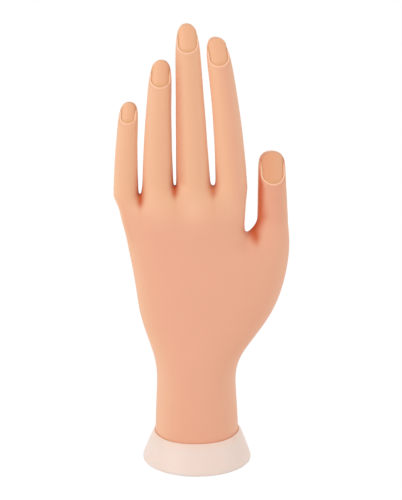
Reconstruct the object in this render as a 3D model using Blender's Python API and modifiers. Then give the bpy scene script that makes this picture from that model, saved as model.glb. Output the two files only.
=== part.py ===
"""Nail practice hand: a soft left hand over a jointed keel, with slide-in nails and a flared cup base.

Metres, +Z up. The origin is the centre of the cup's flat underside. The back of the hand and the nails
face -Y, the palm faces +Y and the thumb is on the +X side. The skin is one quad cage with a subdivision
surface, cut into rigid sleeves and bending rings at the joints of the keel.
"""

import math
from dataclasses import dataclass

import bmesh
import bpy
from mathutils import Matrix, Vector

# Gaps
FIT_GAP = 0.0003
HINGE_GAP = 0.00025
PIN_GAP = 0.0002
CUT_OVERRUN = 0.004
MERGE_DISTANCE = 0.00001

# Cup base
CUP_FOOT_RADIUS = 0.0280
CUP_HEIGHT = 0.0150
CUP_WALL = 0.0013
CUP_FLOOR = 0.0045
CUP_FOOT_EDGE = 0.0008
CUP_STRAIGHT = 0.0020
POST_RADIUS = 0.0052
POST_FLARE = 0.0030
POST_TOP_CHAMFER = 0.0010
POST_ENTRY = 0.0180

# Wrist and palm
WRIST_HALF_WIDTH = 0.0217
WRIST_HALF_DEPTH = 0.0186
WRIST_LENGTH = 0.0360
PALM_SKIN_WALL = 0.0026
FINGER_WEB_HEIGHT = 0.1440
LITTLE_WEB_DROP = 0.0048
THUMB_WEB_DROP = 0.0235
WEB_ROUND = 0.0032
THUMB_SWELL = 0.0005
THUMB_FORWARD = 0.0020

# Keel
BONE_HALF_DEPTH = 0.0020
TONGUE_WIDTH = 0.0018
EAR_THICKNESS = 0.0011
PIN_RADIUS = 0.0008
BONE_TIP_COVER = 0.0062
BONE_TIP_HALF_WIDTH = 0.0017
BONE_TIP_HALF_DEPTH = 0.0011
BONE_TIP_OFFSET = 0.0008
CHANNEL_GAP = 0.0004
RAY_HALF_WIDTH = 0.0030
RAY_HALF_DEPTH = 0.0025
HUB_RADIUS = 0.0088
HUB_BOTTOM = 0.0400
HUB_CAP = 0.0057
WRIST_PLATE_THICKNESS = 0.0030
BRIDGE_HALF = 0.0017
BRIDGE_DROP = 0.0190
CHANNEL_DROP = 0.0144
RING_MARGIN = 0.0006
ROOT_SEAT = 0.0022

# Nails
NAIL_THICKNESS = 0.0008
NAIL_TUCK = 0.0018
NAIL_SINK = 0.0010
NAIL_GAP = 0.0002
NAIL_BED_GAP = 0.0003

# Angles
ROOT_FLEX = 60
MIDDLE_FLEX = 70
TIP_FLEX = 45
THUMB_ROOT_FLEX = 35
THUMB_TIP_FLEX = 40
NAIL_PITCH = math.radians(8)

# Gaps between neighbouring finger roots, from the little finger to the index
ROW_LEFT = -0.0419
LITTLE_RING_GAP = 0.0015
RING_MIDDLE_GAP = 0.0009
MIDDLE_INDEX_GAP = 0.0021
THUMB_GAP = 0.0047

# Little finger
LITTLE_PROXIMAL = 0.0182
LITTLE_MIDDLE = 0.0126
LITTLE_TIP = 0.0157
LITTLE_CUTICLE = 0.0050
LITTLE_ROOT_WIDTH = 0.0130
LITTLE_TIP_WIDTH = 0.0096
LITTLE_SHIFT = 0.0020
LITTLE_BOW = -0.0006
LITTLE_CURL = 0.0050
LITTLE_NAIL_WIDTH = 0.0073

# Ring finger
RING_PROXIMAL = 0.0258
RING_MIDDLE = 0.0175
RING_TIP = 0.0191
RING_CUTICLE = 0.0054
RING_ROOT_WIDTH = 0.0160
RING_TIP_WIDTH = 0.0111
RING_SHIFT = 0.0020
RING_BOW = -0.0007
RING_CURL = 0.0060
RING_NAIL_WIDTH = 0.0093

# Middle finger
MIDDLE_PROXIMAL = 0.0368
MIDDLE_MIDDLE = 0.0221
MIDDLE_TIP = 0.0212
MIDDLE_CUTICLE = 0.0067
MIDDLE_ROOT_WIDTH = 0.0176
MIDDLE_TIP_WIDTH = 0.0119
MIDDLE_SHIFT = -0.0033
MIDDLE_BOW = 0.0001
MIDDLE_CURL = 0.0070
MIDDLE_NAIL_WIDTH = 0.0097

# Index finger
INDEX_PROXIMAL = 0.0327
INDEX_MIDDLE = 0.0205
INDEX_TIP = 0.0204
INDEX_CUTICLE = 0.0061
INDEX_ROOT_WIDTH = 0.0163
INDEX_TIP_WIDTH = 0.0118
INDEX_SHIFT = -0.0083
INDEX_BOW = 0.0014
INDEX_CURL = 0.0062
INDEX_NAIL_WIDTH = 0.0095

# Thumb
THUMB_PROXIMAL = 0.0172
THUMB_TIP = 0.0233
THUMB_CUTICLE = 0.0069
THUMB_ROOT_WIDTH = 0.0163
THUMB_TIP_WIDTH = 0.0133
THUMB_SHIFT = -0.0010
THUMB_BOW = 0.0
THUMB_CURL = 0.0030
THUMB_NAIL_WIDTH = 0.0112

# Places that follow from the sizes above
THUMB_WEB_HEIGHT = FINGER_WEB_HEIGHT - THUMB_WEB_DROP
FINGER_ROW_WIDTH = (
    LITTLE_ROOT_WIDTH + LITTLE_RING_GAP + RING_ROOT_WIDTH + RING_MIDDLE_GAP + MIDDLE_ROOT_WIDTH
    + MIDDLE_INDEX_GAP + INDEX_ROOT_WIDTH
)
THUMB_REACH = ROW_LEFT + FINGER_ROW_WIDTH + THUMB_GAP + THUMB_ROOT_WIDTH + THUMB_SWELL
SOCKET_TOP = HUB_BOTTOM + POST_ENTRY + FIT_GAP
HUB_TOP = SOCKET_TOP + HUB_CAP

# Depth of a digit as a share of its width, at the root and at the tip
ROOT_DEPTH_SHARE = 0.90
TIP_DEPTH_SHARE = 0.84
WEB_DEPTH_SHARE = 0.50

# Rings of a digit: height between the web's rounding and the tip, width and depth as shares of its taper
DIGIT_RING_SHARES = (
    (0.000, 0.965, 1.00),
    (0.115, 0.99, 1.00),
    (0.252, 0.98, 0.98),
    (0.400, 1.00, 1.01),
    (0.537, 0.99, 0.99),
    (0.674, 1.00, 1.00),
    (0.800, 1.01, 1.00),
    (0.895, 0.97, 0.93),
    (0.963, 0.76, 0.72),
    (1.006, 0.40, 0.38),
)
TAPER_END_SHARE = 0.88

# Heights in the palm are 0 at the foot, 1 at the thumb web and 2 at the finger webs.
# Palm rings below the thumb web: height, how far the left side has gone from the wrist to the finger row
# and the right side from the wrist to the thumb's reach, back and palm depths as shares of the wrist's
LOWER_PALM_SHARES = (
    (-0.048, 0.000, 0.000, 1.00, 1.00),
    (0.096, 0.000, 0.000, 1.00, 1.00),
    (0.203, -0.010, -0.020, 0.97, 0.98),
    (0.299, -0.040, -0.055, 0.94, 0.95),
    (0.394, -0.062, -0.080, 0.90, 0.93),
    (0.472, 0.022, 0.048, 0.85, 0.91),
    (0.556, 0.208, 0.364, 0.80, 0.88),
    (0.651, 0.385, 0.680, 0.77, 0.86),
    (0.747, 0.450, 0.858, 0.75, 0.83),
    (0.842, 0.538, 0.960, 0.73, 0.79),
    (0.926, 0.636, 1.008, 0.70, 0.75),
)
THUMB_WEB_DEPTH_SHARE = 0.66
THUMB_WEB_PALM_SHARE = 0.693
THUMB_WEB_REACH_SHARE = 1.00
PALM_LEFT_AT_THUMB_WEB_SHARE = 0.857

# Palm rings between the thumb web and the finger webs: height, reach to the left and right as shares of the
# finger row's, and back and palm depth as shares of the wrist's
UPPER_PALM_SHARES = (
    (1.36, 0.905, 0.952, 0.63, 0.68),
    (1.70, 0.930, 0.966, 0.575, 0.62),
)

# Top of the hollow in the palm, in the same shares as the palm rings below the thumb web
HOLLOW_TOP_SHARES = (
    (0.914, 0.620, 0.800, 0.70, 0.74),
    (0.980, 0.690, 0.110, 0.66, 0.70),
    (1.295, 0.790, 0.100, 0.61, 0.65),
    (1.540, 0.820, 0.080, 0.53, 0.56),
)
HOLLOW_TOP_START_SHARE = 0.85
RAY_FOOT_SHARE = 0.12

# Width of the wrist plate's openings as a share of the space between hub and edge, their depth as a share
# of that width, and how far the cup has gone from its round foot to its oval rim at its straight foot's top
PLATE_OPENING_SHARE = 0.70
PLATE_OPENING_DEPTH_SHARE = 2
CUP_STRAIGHT_SHARE = 0.02

# Slopes of a nail: arch radius and end roundings as shares of its width, and its grid
NAIL_ARCH_SHARE = 0.72
NAIL_ROOT_ROUND_SHARE = 0.50
NAIL_TIP_ROUND_SHARE = 0.54
NAIL_ROUND_SHARE = 0.94
NAIL_ROWS = 5
NAIL_COLUMNS = 6

DIRECTION_STEP_SHARE = 0.02
RING_POINTS = 8
HALF_STEP = math.pi / RING_POINTS
RING_SWELL = 6 / (4 + 2 * math.cos(2 * HALF_STEP))
DIGIT_COLUMNS = 3
CUP_POINTS = 40
HOLLOW_POINTS = 16
HUB_POINTS = 20
PIN_POINTS = 8
SECTION_POWER = 2.5
CIRCLE_POWER = 2
END_TURNS = (math.radians(72), math.radians(48), math.radians(24))

# Names of a digit's pieces and joints from the palm outwards, by its count of joints
PIECE_NAMES = {
    3: (("proximal", "middle", "tip"), ("knuckle", "middle_joint", "tip_joint")),
    2: (("proximal", "tip"), ("knuckle", "tip_joint")),
}

SKIN = ("skin", (0.83, 0.42, 0.27, 1), 0.48)
NAIL = ("nail", (0.86, 0.49, 0.30, 1), 0.42)
CUP = ("cup_plastic", (0.88, 0.69, 0.61, 1), 0.35)
KEEL = ("keel_plastic", (0.78, 0.76, 0.71, 1), 0.50)
STEEL = ("pin_steel", (0.35, 0.36, 0.38, 1), 0.30)


@dataclass(frozen=True)
class Digit:
    """A finger or the thumb: its centreline, taper, joints and nail, in metres and degrees."""

    name: str
    order: int
    root: Vector
    lengths: tuple
    root_width: float
    tip_width: float
    shift: float
    bow: float
    curl: float
    flex: tuple
    cuticle: float
    nail_width: float

    @property
    def length(self):
        """Length from the root to the tip."""
        return sum(self.lengths)

    @property
    def nail_length(self):
        """Length of the nail from the cuticle to the tip."""
        return self.lengths[-1] - self.cuticle

    def centre(self, height):
        """Point of the centreline at a height above the digit's root."""
        t = height / self.length
        side = self.shift * t + self.bow * 4 * t * (1 - t)
        return self.root + Vector((side, self.curl * t * t, height))

    @property
    def shoulder(self):
        """Distance from a hinge's centre to the shoulders on either side of it."""
        return BONE_HALF_DEPTH + HINGE_GAP

    def direction(self, height):
        """Unit vector along the centreline."""
        step = self.length * DIRECTION_STEP_SHARE
        return (self.centre(height + step) - self.centre(height - step)).normalized()

    def taper(self, height):
        """How far the width has gone from its root value to its tip value."""
        return min(max(height / self.length / TAPER_END_SHARE, 0), 1)

    def half_width(self, height):
        """Half the width at a height, before the ring shares."""
        t = self.taper(height)
        return (self.root_width * (1 - t) + self.tip_width * t) / 2

    def half_depth(self, height):
        """Half the thickness from back to palm at a height."""
        t = self.taper(height)
        share = ROOT_DEPTH_SHARE * (1 - t) + TIP_DEPTH_SHARE * t
        return self.half_width(height) * share

    def bend_half(self, height, flex):
        """Half the length of the skin ring that folds when the joint bends by flex degrees."""
        return self.half_depth(height) * math.tan(math.radians(flex) / 2) + RING_MARGIN

    @property
    def joints(self):
        """Joint heights from the root joint to the tip joint, with the half lengths of their rings."""
        first = self.bend_half(ROOT_SEAT, self.flex[0])
        heights = [ROOT_SEAT + first] + [sum(self.lengths[:k]) for k in range(1, len(self.lengths))]
        return [(h, self.bend_half(h, flex)) for h, flex in zip(heights, self.flex)]


def make_digits():
    """Place the four fingers side by side on the finger row and the thumb beyond the index."""
    row = (
        ("little", LITTLE_ROOT_WIDTH, LITTLE_RING_GAP),
        ("ring", RING_ROOT_WIDTH, RING_MIDDLE_GAP),
        ("middle", MIDDLE_ROOT_WIDTH, MIDDLE_INDEX_GAP),
        ("index", INDEX_ROOT_WIDTH, THUMB_GAP),
        ("thumb", THUMB_ROOT_WIDTH, 0),
    )
    centres = {}
    left = ROW_LEFT
    for name, width, gap in row:
        centres[name] = left + width / 2
        left += width + gap
    web = FINGER_WEB_HEIGHT
    finger_flex = (ROOT_FLEX, MIDDLE_FLEX, TIP_FLEX)
    return (
        Digit(
            "little", 0, Vector((centres["little"], 0, web - LITTLE_WEB_DROP)),
            (LITTLE_PROXIMAL, LITTLE_MIDDLE, LITTLE_TIP),
            LITTLE_ROOT_WIDTH, LITTLE_TIP_WIDTH, LITTLE_SHIFT, LITTLE_BOW, LITTLE_CURL, finger_flex,
            LITTLE_CUTICLE, LITTLE_NAIL_WIDTH,
        ),
        Digit(
            "ring", 1, Vector((centres["ring"], 0, web)), (RING_PROXIMAL, RING_MIDDLE, RING_TIP),
            RING_ROOT_WIDTH, RING_TIP_WIDTH, RING_SHIFT, RING_BOW, RING_CURL, finger_flex,
            RING_CUTICLE, RING_NAIL_WIDTH,
        ),
        Digit(
            "middle", 2, Vector((centres["middle"], 0, web)), (MIDDLE_PROXIMAL, MIDDLE_MIDDLE, MIDDLE_TIP),
            MIDDLE_ROOT_WIDTH, MIDDLE_TIP_WIDTH, MIDDLE_SHIFT, MIDDLE_BOW, MIDDLE_CURL, finger_flex,
            MIDDLE_CUTICLE, MIDDLE_NAIL_WIDTH,
        ),
        Digit(
            "index", 3, Vector((centres["index"], 0, web)), (INDEX_PROXIMAL, INDEX_MIDDLE, INDEX_TIP),
            INDEX_ROOT_WIDTH, INDEX_TIP_WIDTH, INDEX_SHIFT, INDEX_BOW, INDEX_CURL, finger_flex,
            INDEX_CUTICLE, INDEX_NAIL_WIDTH,
        ),
        Digit(
            "thumb", 4, Vector((centres["thumb"], THUMB_FORWARD, THUMB_WEB_HEIGHT)),
            (THUMB_PROXIMAL, THUMB_TIP),
            THUMB_ROOT_WIDTH, THUMB_TIP_WIDTH, THUMB_SHIFT, THUMB_BOW, THUMB_CURL,
            (THUMB_ROOT_FLEX, THUMB_TIP_FLEX), THUMB_CUTICLE, THUMB_NAIL_WIDTH,
        ),
    )


# Scene helpers


def clear_scene():
    """Remove every object, so the script can run again in an open file."""
    for item in list(bpy.data.objects):
        bpy.data.objects.remove(item, do_unlink=True)


def new_collection(name):
    """Make a collection under the scene."""
    made = bpy.data.collections.new(name)
    bpy.context.scene.collection.children.link(made)
    return made


def add_object(name, mesh, group, finish=None, origin=None):
    """Put a mesh in the scene, with its origin moved to a point if one is given."""
    item = bpy.data.objects.new(name, mesh)
    group.objects.link(item)
    if origin is not None:
        mesh.transform(Matrix.Translation(-origin))
        item.location = origin
    if finish:
        dress(item, finish)
    return item


def dress(item, finish):
    """Give an object its own material."""
    label, colour, roughness = finish
    material = bpy.data.materials.new(f"{item.name}_{label}")
    material.use_nodes = True
    shader = material.node_tree.nodes["Principled BSDF"]
    shader.inputs["Base Color"].default_value = colour
    shader.inputs["Roughness"].default_value = roughness
    shader.inputs["Metallic"].default_value = 1.0 if finish is STEEL else 0.0
    item.data.materials.clear()
    item.data.materials.append(material)


def as_cutter(item):
    """Hide a helper object from the finished model."""
    item.hide_render = True
    item.display_type = "WIRE"
    return item


def mesh_from(bm, name):
    """Turn a bmesh into a mesh with outward faces."""
    bmesh.ops.recalc_face_normals(bm, faces=bm.faces)
    mesh = bpy.data.meshes.new(name)
    bm.to_mesh(mesh)
    bm.free()
    return mesh


def evaluated_mesh(item):
    """Mesh of an object with its modifiers applied."""
    graph = bpy.context.evaluated_depsgraph_get()
    return bpy.data.meshes.new_from_object(item.evaluated_get(graph))


def combine(item, tool, operation):
    """Apply a Boolean between two objects and remove the tool."""
    modifier = item.modifiers.new(operation.lower(), "BOOLEAN")
    modifier.operation = operation
    modifier.object = tool
    old = item.data
    item.data = evaluated_mesh(item)
    item.modifiers.clear()
    bpy.data.meshes.remove(old)
    bpy.data.objects.remove(tool, do_unlink=True)


def cut_with(item, cutter):
    """Cut an object by a cutter that stays in the file."""
    modifier = item.modifiers.new(f"cut_{cutter.name}", "BOOLEAN")
    modifier.operation = "DIFFERENCE"
    modifier.object = cutter


# Simple solids


def loft_mesh(name, rings):
    """Close a stack of rings with equal point counts into one solid."""
    bm = bmesh.new()
    rows = [[bm.verts.new(point) for point in ring] for ring in rings]
    count = len(rows[0])
    for lower, upper in zip(rows, rows[1:]):
        for k in range(count):
            n = (k + 1) % count
            bm.faces.new((lower[k], lower[n], upper[n], upper[k]))
    bm.faces.new(reversed(rows[0]))
    bm.faces.new(rows[-1])
    return mesh_from(bm, name)


def box(name, low, high, group):
    """Box between two corners."""
    bm = bmesh.new()
    bmesh.ops.create_cube(bm, size=1)
    size = high - low
    bmesh.ops.transform(
        bm, verts=bm.verts, matrix=Matrix.Translation((low + high) / 2) @ Matrix.Diagonal(size.to_4d())
    )
    return add_object(name, mesh_from(bm, name), group)


def cross_rod(name, centre, radius, length, group, finish=None, points=PIN_POINTS):
    """Cylinder along X, its origin at its centre."""
    bm = bmesh.new()
    turn = Matrix.Rotation(math.pi / 2, 4, "Y")
    bmesh.ops.create_cone(
        bm, cap_ends=True, segments=points, radius1=radius, radius2=radius, depth=length, matrix=turn
    )
    item = add_object(name, mesh_from(bm, name), group, finish)
    item.location = centre
    return item


def turned(name, profile, group, points=CUP_POINTS):
    """Solid of revolution about Z from a closed profile that runs down its outer side."""
    bm = bmesh.new()
    verts = [bm.verts.new((radius, 0, height)) for radius, height in profile]
    for a, b in zip(verts, verts[1:]):
        bm.edges.new((a, b))
    mesh = bpy.data.meshes.new(name)
    bm.to_mesh(mesh)
    bm.free()
    item = add_object(name, mesh, group)
    screw = item.modifiers.new("turn", "SCREW")
    screw.steps = points
    screw.render_steps = points
    screw.use_merge_vertices = True
    screw.merge_threshold = MERGE_DISTANCE
    item.data = evaluated_mesh(item)
    item.modifiers.clear()
    return item


def oval_ring(left, right, back, palm, height, count, power=SECTION_POWER):
    """Points of a rounded oval that reaches to left and right in x and to -back and +palm in y."""
    points = []
    for k in range(count):
        angle = 2 * math.pi * k / count
        c, s = math.cos(angle), math.sin(angle)
        x = math.copysign(abs(c) ** (2 / power), c)
        y = math.copysign(abs(s) ** (2 / power), s)
        half = (right - left) / 2
        points.append(((left + right) / 2 + half * x, (palm if y > 0 else back) * y, height))
    return points


def mix(a, b, t):
    """Value between a and b."""
    return a + (b - a) * t


# The skin's cage


def digit_ring(digit, height, width_share, depth_share):
    """Eight points round a digit: left, two on the back, right, right, two on the palm side, left."""
    centre = digit.centre(height)
    a = digit.half_width(height) * width_share * RING_SWELL
    b = digit.half_depth(height) * depth_share * RING_SWELL
    points = []
    for k in range(RING_POINTS):
        angle = math.pi + HALF_STEP * (2 * k + 1)
        points.append(centre + Vector((a * math.cos(angle), b * math.sin(angle), 0)))
    return points


def web_row(digits):
    """Columns of the finger row: back and palm points where the four fingers stand on the palm."""
    columns = []
    for digit in digits:
        x, _, z = digit.root
        a = digit.half_width(0) * RING_SWELL
        b = digit.half_depth(0) * RING_SWELL
        inner = a * math.sin(HALF_STEP)
        outer = a * math.cos(HALF_STEP)
        if not columns:
            columns.append((x - outer, b * WEB_DEPTH_SHARE, b * WEB_DEPTH_SHARE, z))
        depth = b * math.cos(HALF_STEP)
        columns.append((x - inner, depth, depth, z))
        columns.append((x + inner, depth, depth, z))
        follower = digits[digit.order + 1] if digit.order + 1 < len(digits) else None
        if follower:
            side = x + digit.half_width(0)
            other = follower.root.x - follower.half_width(0)
            columns.append(((side + other) / 2, b * WEB_DEPTH_SHARE, b * WEB_DEPTH_SHARE, z))
        else:
            columns.append((x + outer, b * WEB_DEPTH_SHARE, b * WEB_DEPTH_SHARE, z))
    return columns


def section_depth(u, power=SECTION_POWER):
    """Depth of a palm section at a place across it, as a share of its greatest depth."""
    return max(1 - min(abs(u), 1) ** power, 0) ** (1 / power)


def palm_height(share, top=FINGER_WEB_HEIGHT):
    """Height in the palm: share 0 is the foot, 1 the thumb web and 2 the finger web at the top."""
    if share <= 1:
        return share * THUMB_WEB_HEIGHT
    return mix(THUMB_WEB_HEIGHT, top, share - 1)


def palm_cage_rows(digits):
    """Rows of the palm from below the wrist to the finger webs, each a list of columns."""
    fingers, thumb = digits[:4], digits[4]
    top = web_row(fingers)
    row_left = top[0][0]
    row_right = top[-1][0]
    finger_shares = [2 * (column[0] - row_left) / (row_right - row_left) - 1 for column in top]

    left = row_left * PALM_LEFT_AT_THUMB_WEB_SHARE
    right = thumb.root.x - thumb.half_width(0) - THUMB_GAP * THUMB_WEB_REACH_SHARE
    web = []
    for u in finger_shares:
        reach = WRIST_HALF_DEPTH * max(section_depth(u), WEB_DEPTH_SHARE)
        back, palm = reach * THUMB_WEB_DEPTH_SHARE, reach * THUMB_WEB_PALM_SHARE
        web.append((mix(left, right, (u + 1) / 2), back, palm, THUMB_WEB_HEIGHT))
    a = thumb.half_width(0) * RING_SWELL
    b = thumb.half_depth(0) * RING_SWELL
    back, palm = b - THUMB_FORWARD, b + THUMB_FORWARD
    web[-1] = (right, back * WEB_DEPTH_SHARE, palm * WEB_DEPTH_SHARE, THUMB_WEB_HEIGHT)
    for turn in (-HALF_STEP, HALF_STEP, math.pi / 2 - HALF_STEP):
        x = thumb.root.x + a * math.sin(turn)
        web.append((x, back * math.cos(turn), palm * math.cos(turn), THUMB_WEB_HEIGHT))
    wide_left, wide_right = web[0][0], web[-1][0]
    web_shares = [2 * (column[0] - wide_left) / (wide_right - wide_left) - 1 for column in web]

    count = len(web)
    even = [-math.cos((k + 0.5) * math.pi / count) for k in range(count)]
    rows = []
    for height_share, left_share, right_share, back_share, palm_share in LOWER_PALM_SHARES:
        height = palm_height(height_share)
        blend = min(max((height - WRIST_LENGTH) / (THUMB_WEB_HEIGHT - WRIST_LENGTH), 0), 1)
        lean = THUMB_FORWARD * blend
        low = -mix(WRIST_HALF_WIDTH, -ROW_LEFT, left_share)
        high = mix(WRIST_HALF_WIDTH, THUMB_REACH, right_share)
        row = []
        for k in range(count):
            u = mix(even[k], web_shares[k], blend)
            reach = section_depth(u)
            shift = lean * max(u, 0)
            row.append((
                mix(low, high, (u + 1) / 2), WRIST_HALF_DEPTH * back_share * reach - shift,
                WRIST_HALF_DEPTH * palm_share * reach + shift, height,
            ))
        rows.append(row)
    rows.append(web)
    for height_share, left_share, right_share, back_share, palm_share in UPPER_PALM_SHARES:
        row = []
        for u, column in zip(finger_shares, top):
            reach = max(section_depth(u), WEB_DEPTH_SHARE)
            row.append((
                mix(row_left * left_share, row_right * right_share, (u + 1) / 2),
                WRIST_HALF_DEPTH * back_share * reach, WRIST_HALF_DEPTH * palm_share * reach,
                palm_height(height_share, column[3]),
            ))
        rows.append(row)
    rows.append(top)
    return rows


def build_cage(digits):
    """One closed quad cage of the whole skin, each face marked with the digit it belongs to."""
    bm = bmesh.new()

    def add_row(columns):
        backs = [bm.verts.new((x, -back, z)) for x, back, _, z in columns]
        palms = [bm.verts.new((x, palm, z)) for x, _, palm, z in columns]
        return backs, palms

    def ring_of(row, first, last):
        backs, palms = row
        return backs[first:last + 1] + list(reversed(palms[first:last + 1]))

    def bridge(lower, upper, mark):
        count = len(lower)
        for k in range(count):
            n = (k + 1) % count
            face = bm.faces.new((lower[k], lower[n], upper[n], upper[k]))
            face.material_index = mark

    rows = [add_row(columns) for columns in palm_cage_rows(digits)]
    wide = len(LOWER_PALM_SHARES) + 1
    last = len(rows[0][0]) - 1
    palm_last = last - DIGIT_COLUMNS
    for lower, upper in zip(rows[:wide], rows[1:wide]):
        bridge(ring_of(lower, 0, last), ring_of(upper, 0, last), 0)
    for lower, upper in zip(rows[wide - 1:], rows[wide:]):
        bridge(ring_of(lower, 0, palm_last), ring_of(upper, 0, palm_last), 0)
    bm.faces.new(reversed(ring_of(rows[0], 0, last)))
    for digit in digits:
        foot = rows[wide - 1] if digit.name == "thumb" else rows[-1]
        first = DIGIT_COLUMNS * digit.order
        lower = ring_of(foot, first, first + DIGIT_COLUMNS)
        mark = digit.order + 1
        for height_share, width_share, depth_share in DIGIT_RING_SHARES:
            points = digit_ring(digit, mix(WEB_ROUND, digit.length, height_share), width_share, depth_share)
            upper = [bm.verts.new(point) for point in points]
            bridge(lower, upper, mark)
            lower = upper
        for a, b, c, d in ((0, 1, 2, 3), (7, 0, 3, 4), (6, 7, 4, 5)):
            face = bm.faces.new((lower[a], lower[b], lower[c], lower[d]))
            face.material_index = mark
    bmesh.ops.recalc_face_normals(bm, faces=bm.faces)
    mesh = bpy.data.meshes.new("skin_cage")
    bm.to_mesh(mesh)
    bm.free()
    return mesh


def make_skin_form(digits, group, levels=1):
    """The cage with its subdivision surface, kept as a guide."""
    form = as_cutter(add_object("skin_form", build_cage(digits), group))
    smooth = form.modifiers.new("smooth", "SUBSURF")
    smooth.levels = levels
    smooth.render_levels = levels
    return form


# Skin pieces


def face_island(bm, mark):
    """Faces, edges and vertices of one digit, or of the palm."""
    faces = [face for face in bm.faces if face.material_index == mark]
    edges = {edge for face in faces for edge in face.edges}
    verts = {vert for face in faces for vert in face.verts}
    return faces + list(edges) + list(verts)


def slice_plane(digit, height):
    """Point and normal of the cut across a digit at a height: square to the digit, holding the X axis."""
    along = digit.direction(height)
    return digit.centre(height), Vector((0, along.y, along.z)).normalized()


def trim(bm, geometry, point, normal):
    """Cut geometry by a plane and remove what lies beyond it."""
    bmesh.ops.bisect_plane(
        bm, geom=geometry, plane_co=point, plane_no=normal, clear_outer=True, clear_inner=False
    )


def finish_skin(bm, name, group, origin):
    """Close the cut ends and turn the piece into an object."""
    open_edges = [edge for edge in bm.edges if edge.is_boundary]
    bmesh.ops.holes_fill(bm, edges=open_edges, sides=0)
    for face in bm.faces:
        face.material_index = 0
    return add_object(name, mesh_from(bm, name), group, SKIN, origin)


def digit_slice(form_mesh, digit, name, low, high, group, origin):
    """Solid slice of a digit between two heights, or up to its tip."""
    bm = bmesh.new()
    bm.from_mesh(form_mesh)
    others = [face for face in bm.faces if face.material_index != digit.order + 1]
    bmesh.ops.delete(bm, geom=others, context="FACES")
    point, normal = slice_plane(digit, low)
    trim(bm, bm.verts[:] + bm.edges[:] + bm.faces[:], point, -normal)
    if high is not None:
        point, normal = slice_plane(digit, high)
        trim(bm, bm.verts[:] + bm.edges[:] + bm.faces[:], point, normal)
    return finish_skin(bm, name, group, origin)


def palm_slice(form_mesh, digits, group):
    """Palm and wrist skin, cut below each digit's first ring and above the cup's floor."""
    bm = bmesh.new()
    bm.from_mesh(form_mesh)
    for digit in digits:
        height, half = digit.joints[0]
        point, normal = slice_plane(digit, height - half - FIT_GAP / 2)
        trim(bm, face_island(bm, digit.order + 1), point, normal)
    foot = Vector((0, 0, CUP_FLOOR + FIT_GAP))
    trim(bm, bm.verts[:] + bm.edges[:] + bm.faces[:], foot, Vector((0, 0, -1)))
    return finish_skin(bm, "palm_skin", group, foot)


# Keel pieces


def bone_half_width():
    """Half the width of a bone at its hinge."""
    return TONGUE_WIDTH / 2 + HINGE_GAP + EAR_THICKNESS


def rectangle(centre, half_width, half_depth):
    """Four corners of a level rectangle."""
    return [
        centre + Vector((sx * half_width, sy * half_depth, 0))
        for sx, sy in ((-1, -1), (1, -1), (1, 1), (-1, 1))
    ]


def round_end(centre, up):
    """Rectangles that round a bone's end about its hinge's centre."""
    rings = []
    for turn in END_TURNS:
        lift = BONE_HALF_DEPTH * math.sin(turn)
        point = centre + Vector((0, 0, lift if up else -lift))
        rings.append(rectangle(point, bone_half_width(), BONE_HALF_DEPTH * math.cos(turn)))
    return list(reversed(rings)) if up else rings


def hinge_block(digit, centre):
    """Rectangles at a hinge: its lower shoulder, its centre and its upper shoulder."""
    rise = Vector((0, 0, digit.shoulder))
    return [rectangle(centre + rise * k, bone_half_width(), BONE_HALF_DEPTH) for k in (-1, 0, 1)]


def cut_fork(item, digit, centre, group):
    """Cut the slot between a bone's two ears, open at the top, and the pin's hole."""
    reach = BONE_HALF_DEPTH + CUT_OVERRUN
    half = TONGUE_WIDTH / 2 + HINGE_GAP
    low = centre + Vector((-half, -reach, -digit.shoulder))
    high = centre + Vector((half, reach, reach))
    combine(item, box("slot", low, high, group), "DIFFERENCE")
    drill(item, centre, group)


def cut_tongue(item, digit, centre, group):
    """Cut away both cheeks of a bone's lower end to leave its tongue."""
    reach = BONE_HALF_DEPTH + CUT_OVERRUN
    for side in (-1, 1):
        xs = sorted((side * TONGUE_WIDTH / 2, side * (bone_half_width() + CUT_OVERRUN)))
        low = centre + Vector((xs[0], -reach, -reach))
        high = centre + Vector((xs[1], reach, digit.shoulder))
        combine(item, box("cheek", low, high, group), "DIFFERENCE")


def drill(item, centre, group):
    """Drill the hole of a hinge pin."""
    length = 2 * (bone_half_width() + CUT_OVERRUN)
    combine(item, cross_rod("hole", centre, PIN_RADIUS + PIN_GAP, length, group), "DIFFERENCE")


def make_bone(digit, index, name, group):
    """Bone of a digit from one joint to the next, or from the last joint into the fingertip."""
    lower_height = digit.joints[index][0]
    lower = digit.centre(lower_height)
    rings = round_end(lower, False) + hinge_block(digit, lower)[1:]
    last = index == len(digit.joints) - 1
    if last:
        end = digit.centre(digit.length - BONE_TIP_COVER) + Vector((0, BONE_TIP_OFFSET, 0))
        rings.append(rectangle(end, BONE_TIP_HALF_WIDTH, BONE_TIP_HALF_DEPTH))
    else:
        upper = digit.centre(digit.joints[index + 1][0])
        rings += hinge_block(digit, upper)[:2] + round_end(upper, True)
    bone = add_object(name, loft_mesh(name, rings), group)
    cut_tongue(bone, digit, lower, group)
    if last:
        trunnion = cross_rod("trunnion", lower, PIN_RADIUS, 2 * bone_half_width(), group)
        combine(bone, trunnion, "UNION")
    else:
        drill(bone, lower, group)
        cut_fork(bone, digit, upper, group)
    move_origin(bone, lower)
    dress(bone, KEEL)
    return bone


def move_origin(item, origin):
    """Set an unmoved object's origin without moving its mesh."""
    item.data.transform(Matrix.Translation(-origin))
    item.location = origin


def ray_point(digit, height):
    """Point on the line from the hub to a digit's first hinge, at a height above the base."""
    foot, top = ray_ends(digit)
    return foot.lerp(top, (height - foot.z) / (top.z - foot.z))


def ray_ends(digit):
    """Foot of a ray in the hub and its top below the digit's first hinge."""
    hinge = digit.centre(digit.joints[0][0])
    foot = Vector((hinge.x * RAY_FOOT_SHARE, 0, (SOCKET_TOP + HUB_TOP) / 2))
    return foot, hinge - Vector((0, 0, digit.shoulder))


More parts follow.
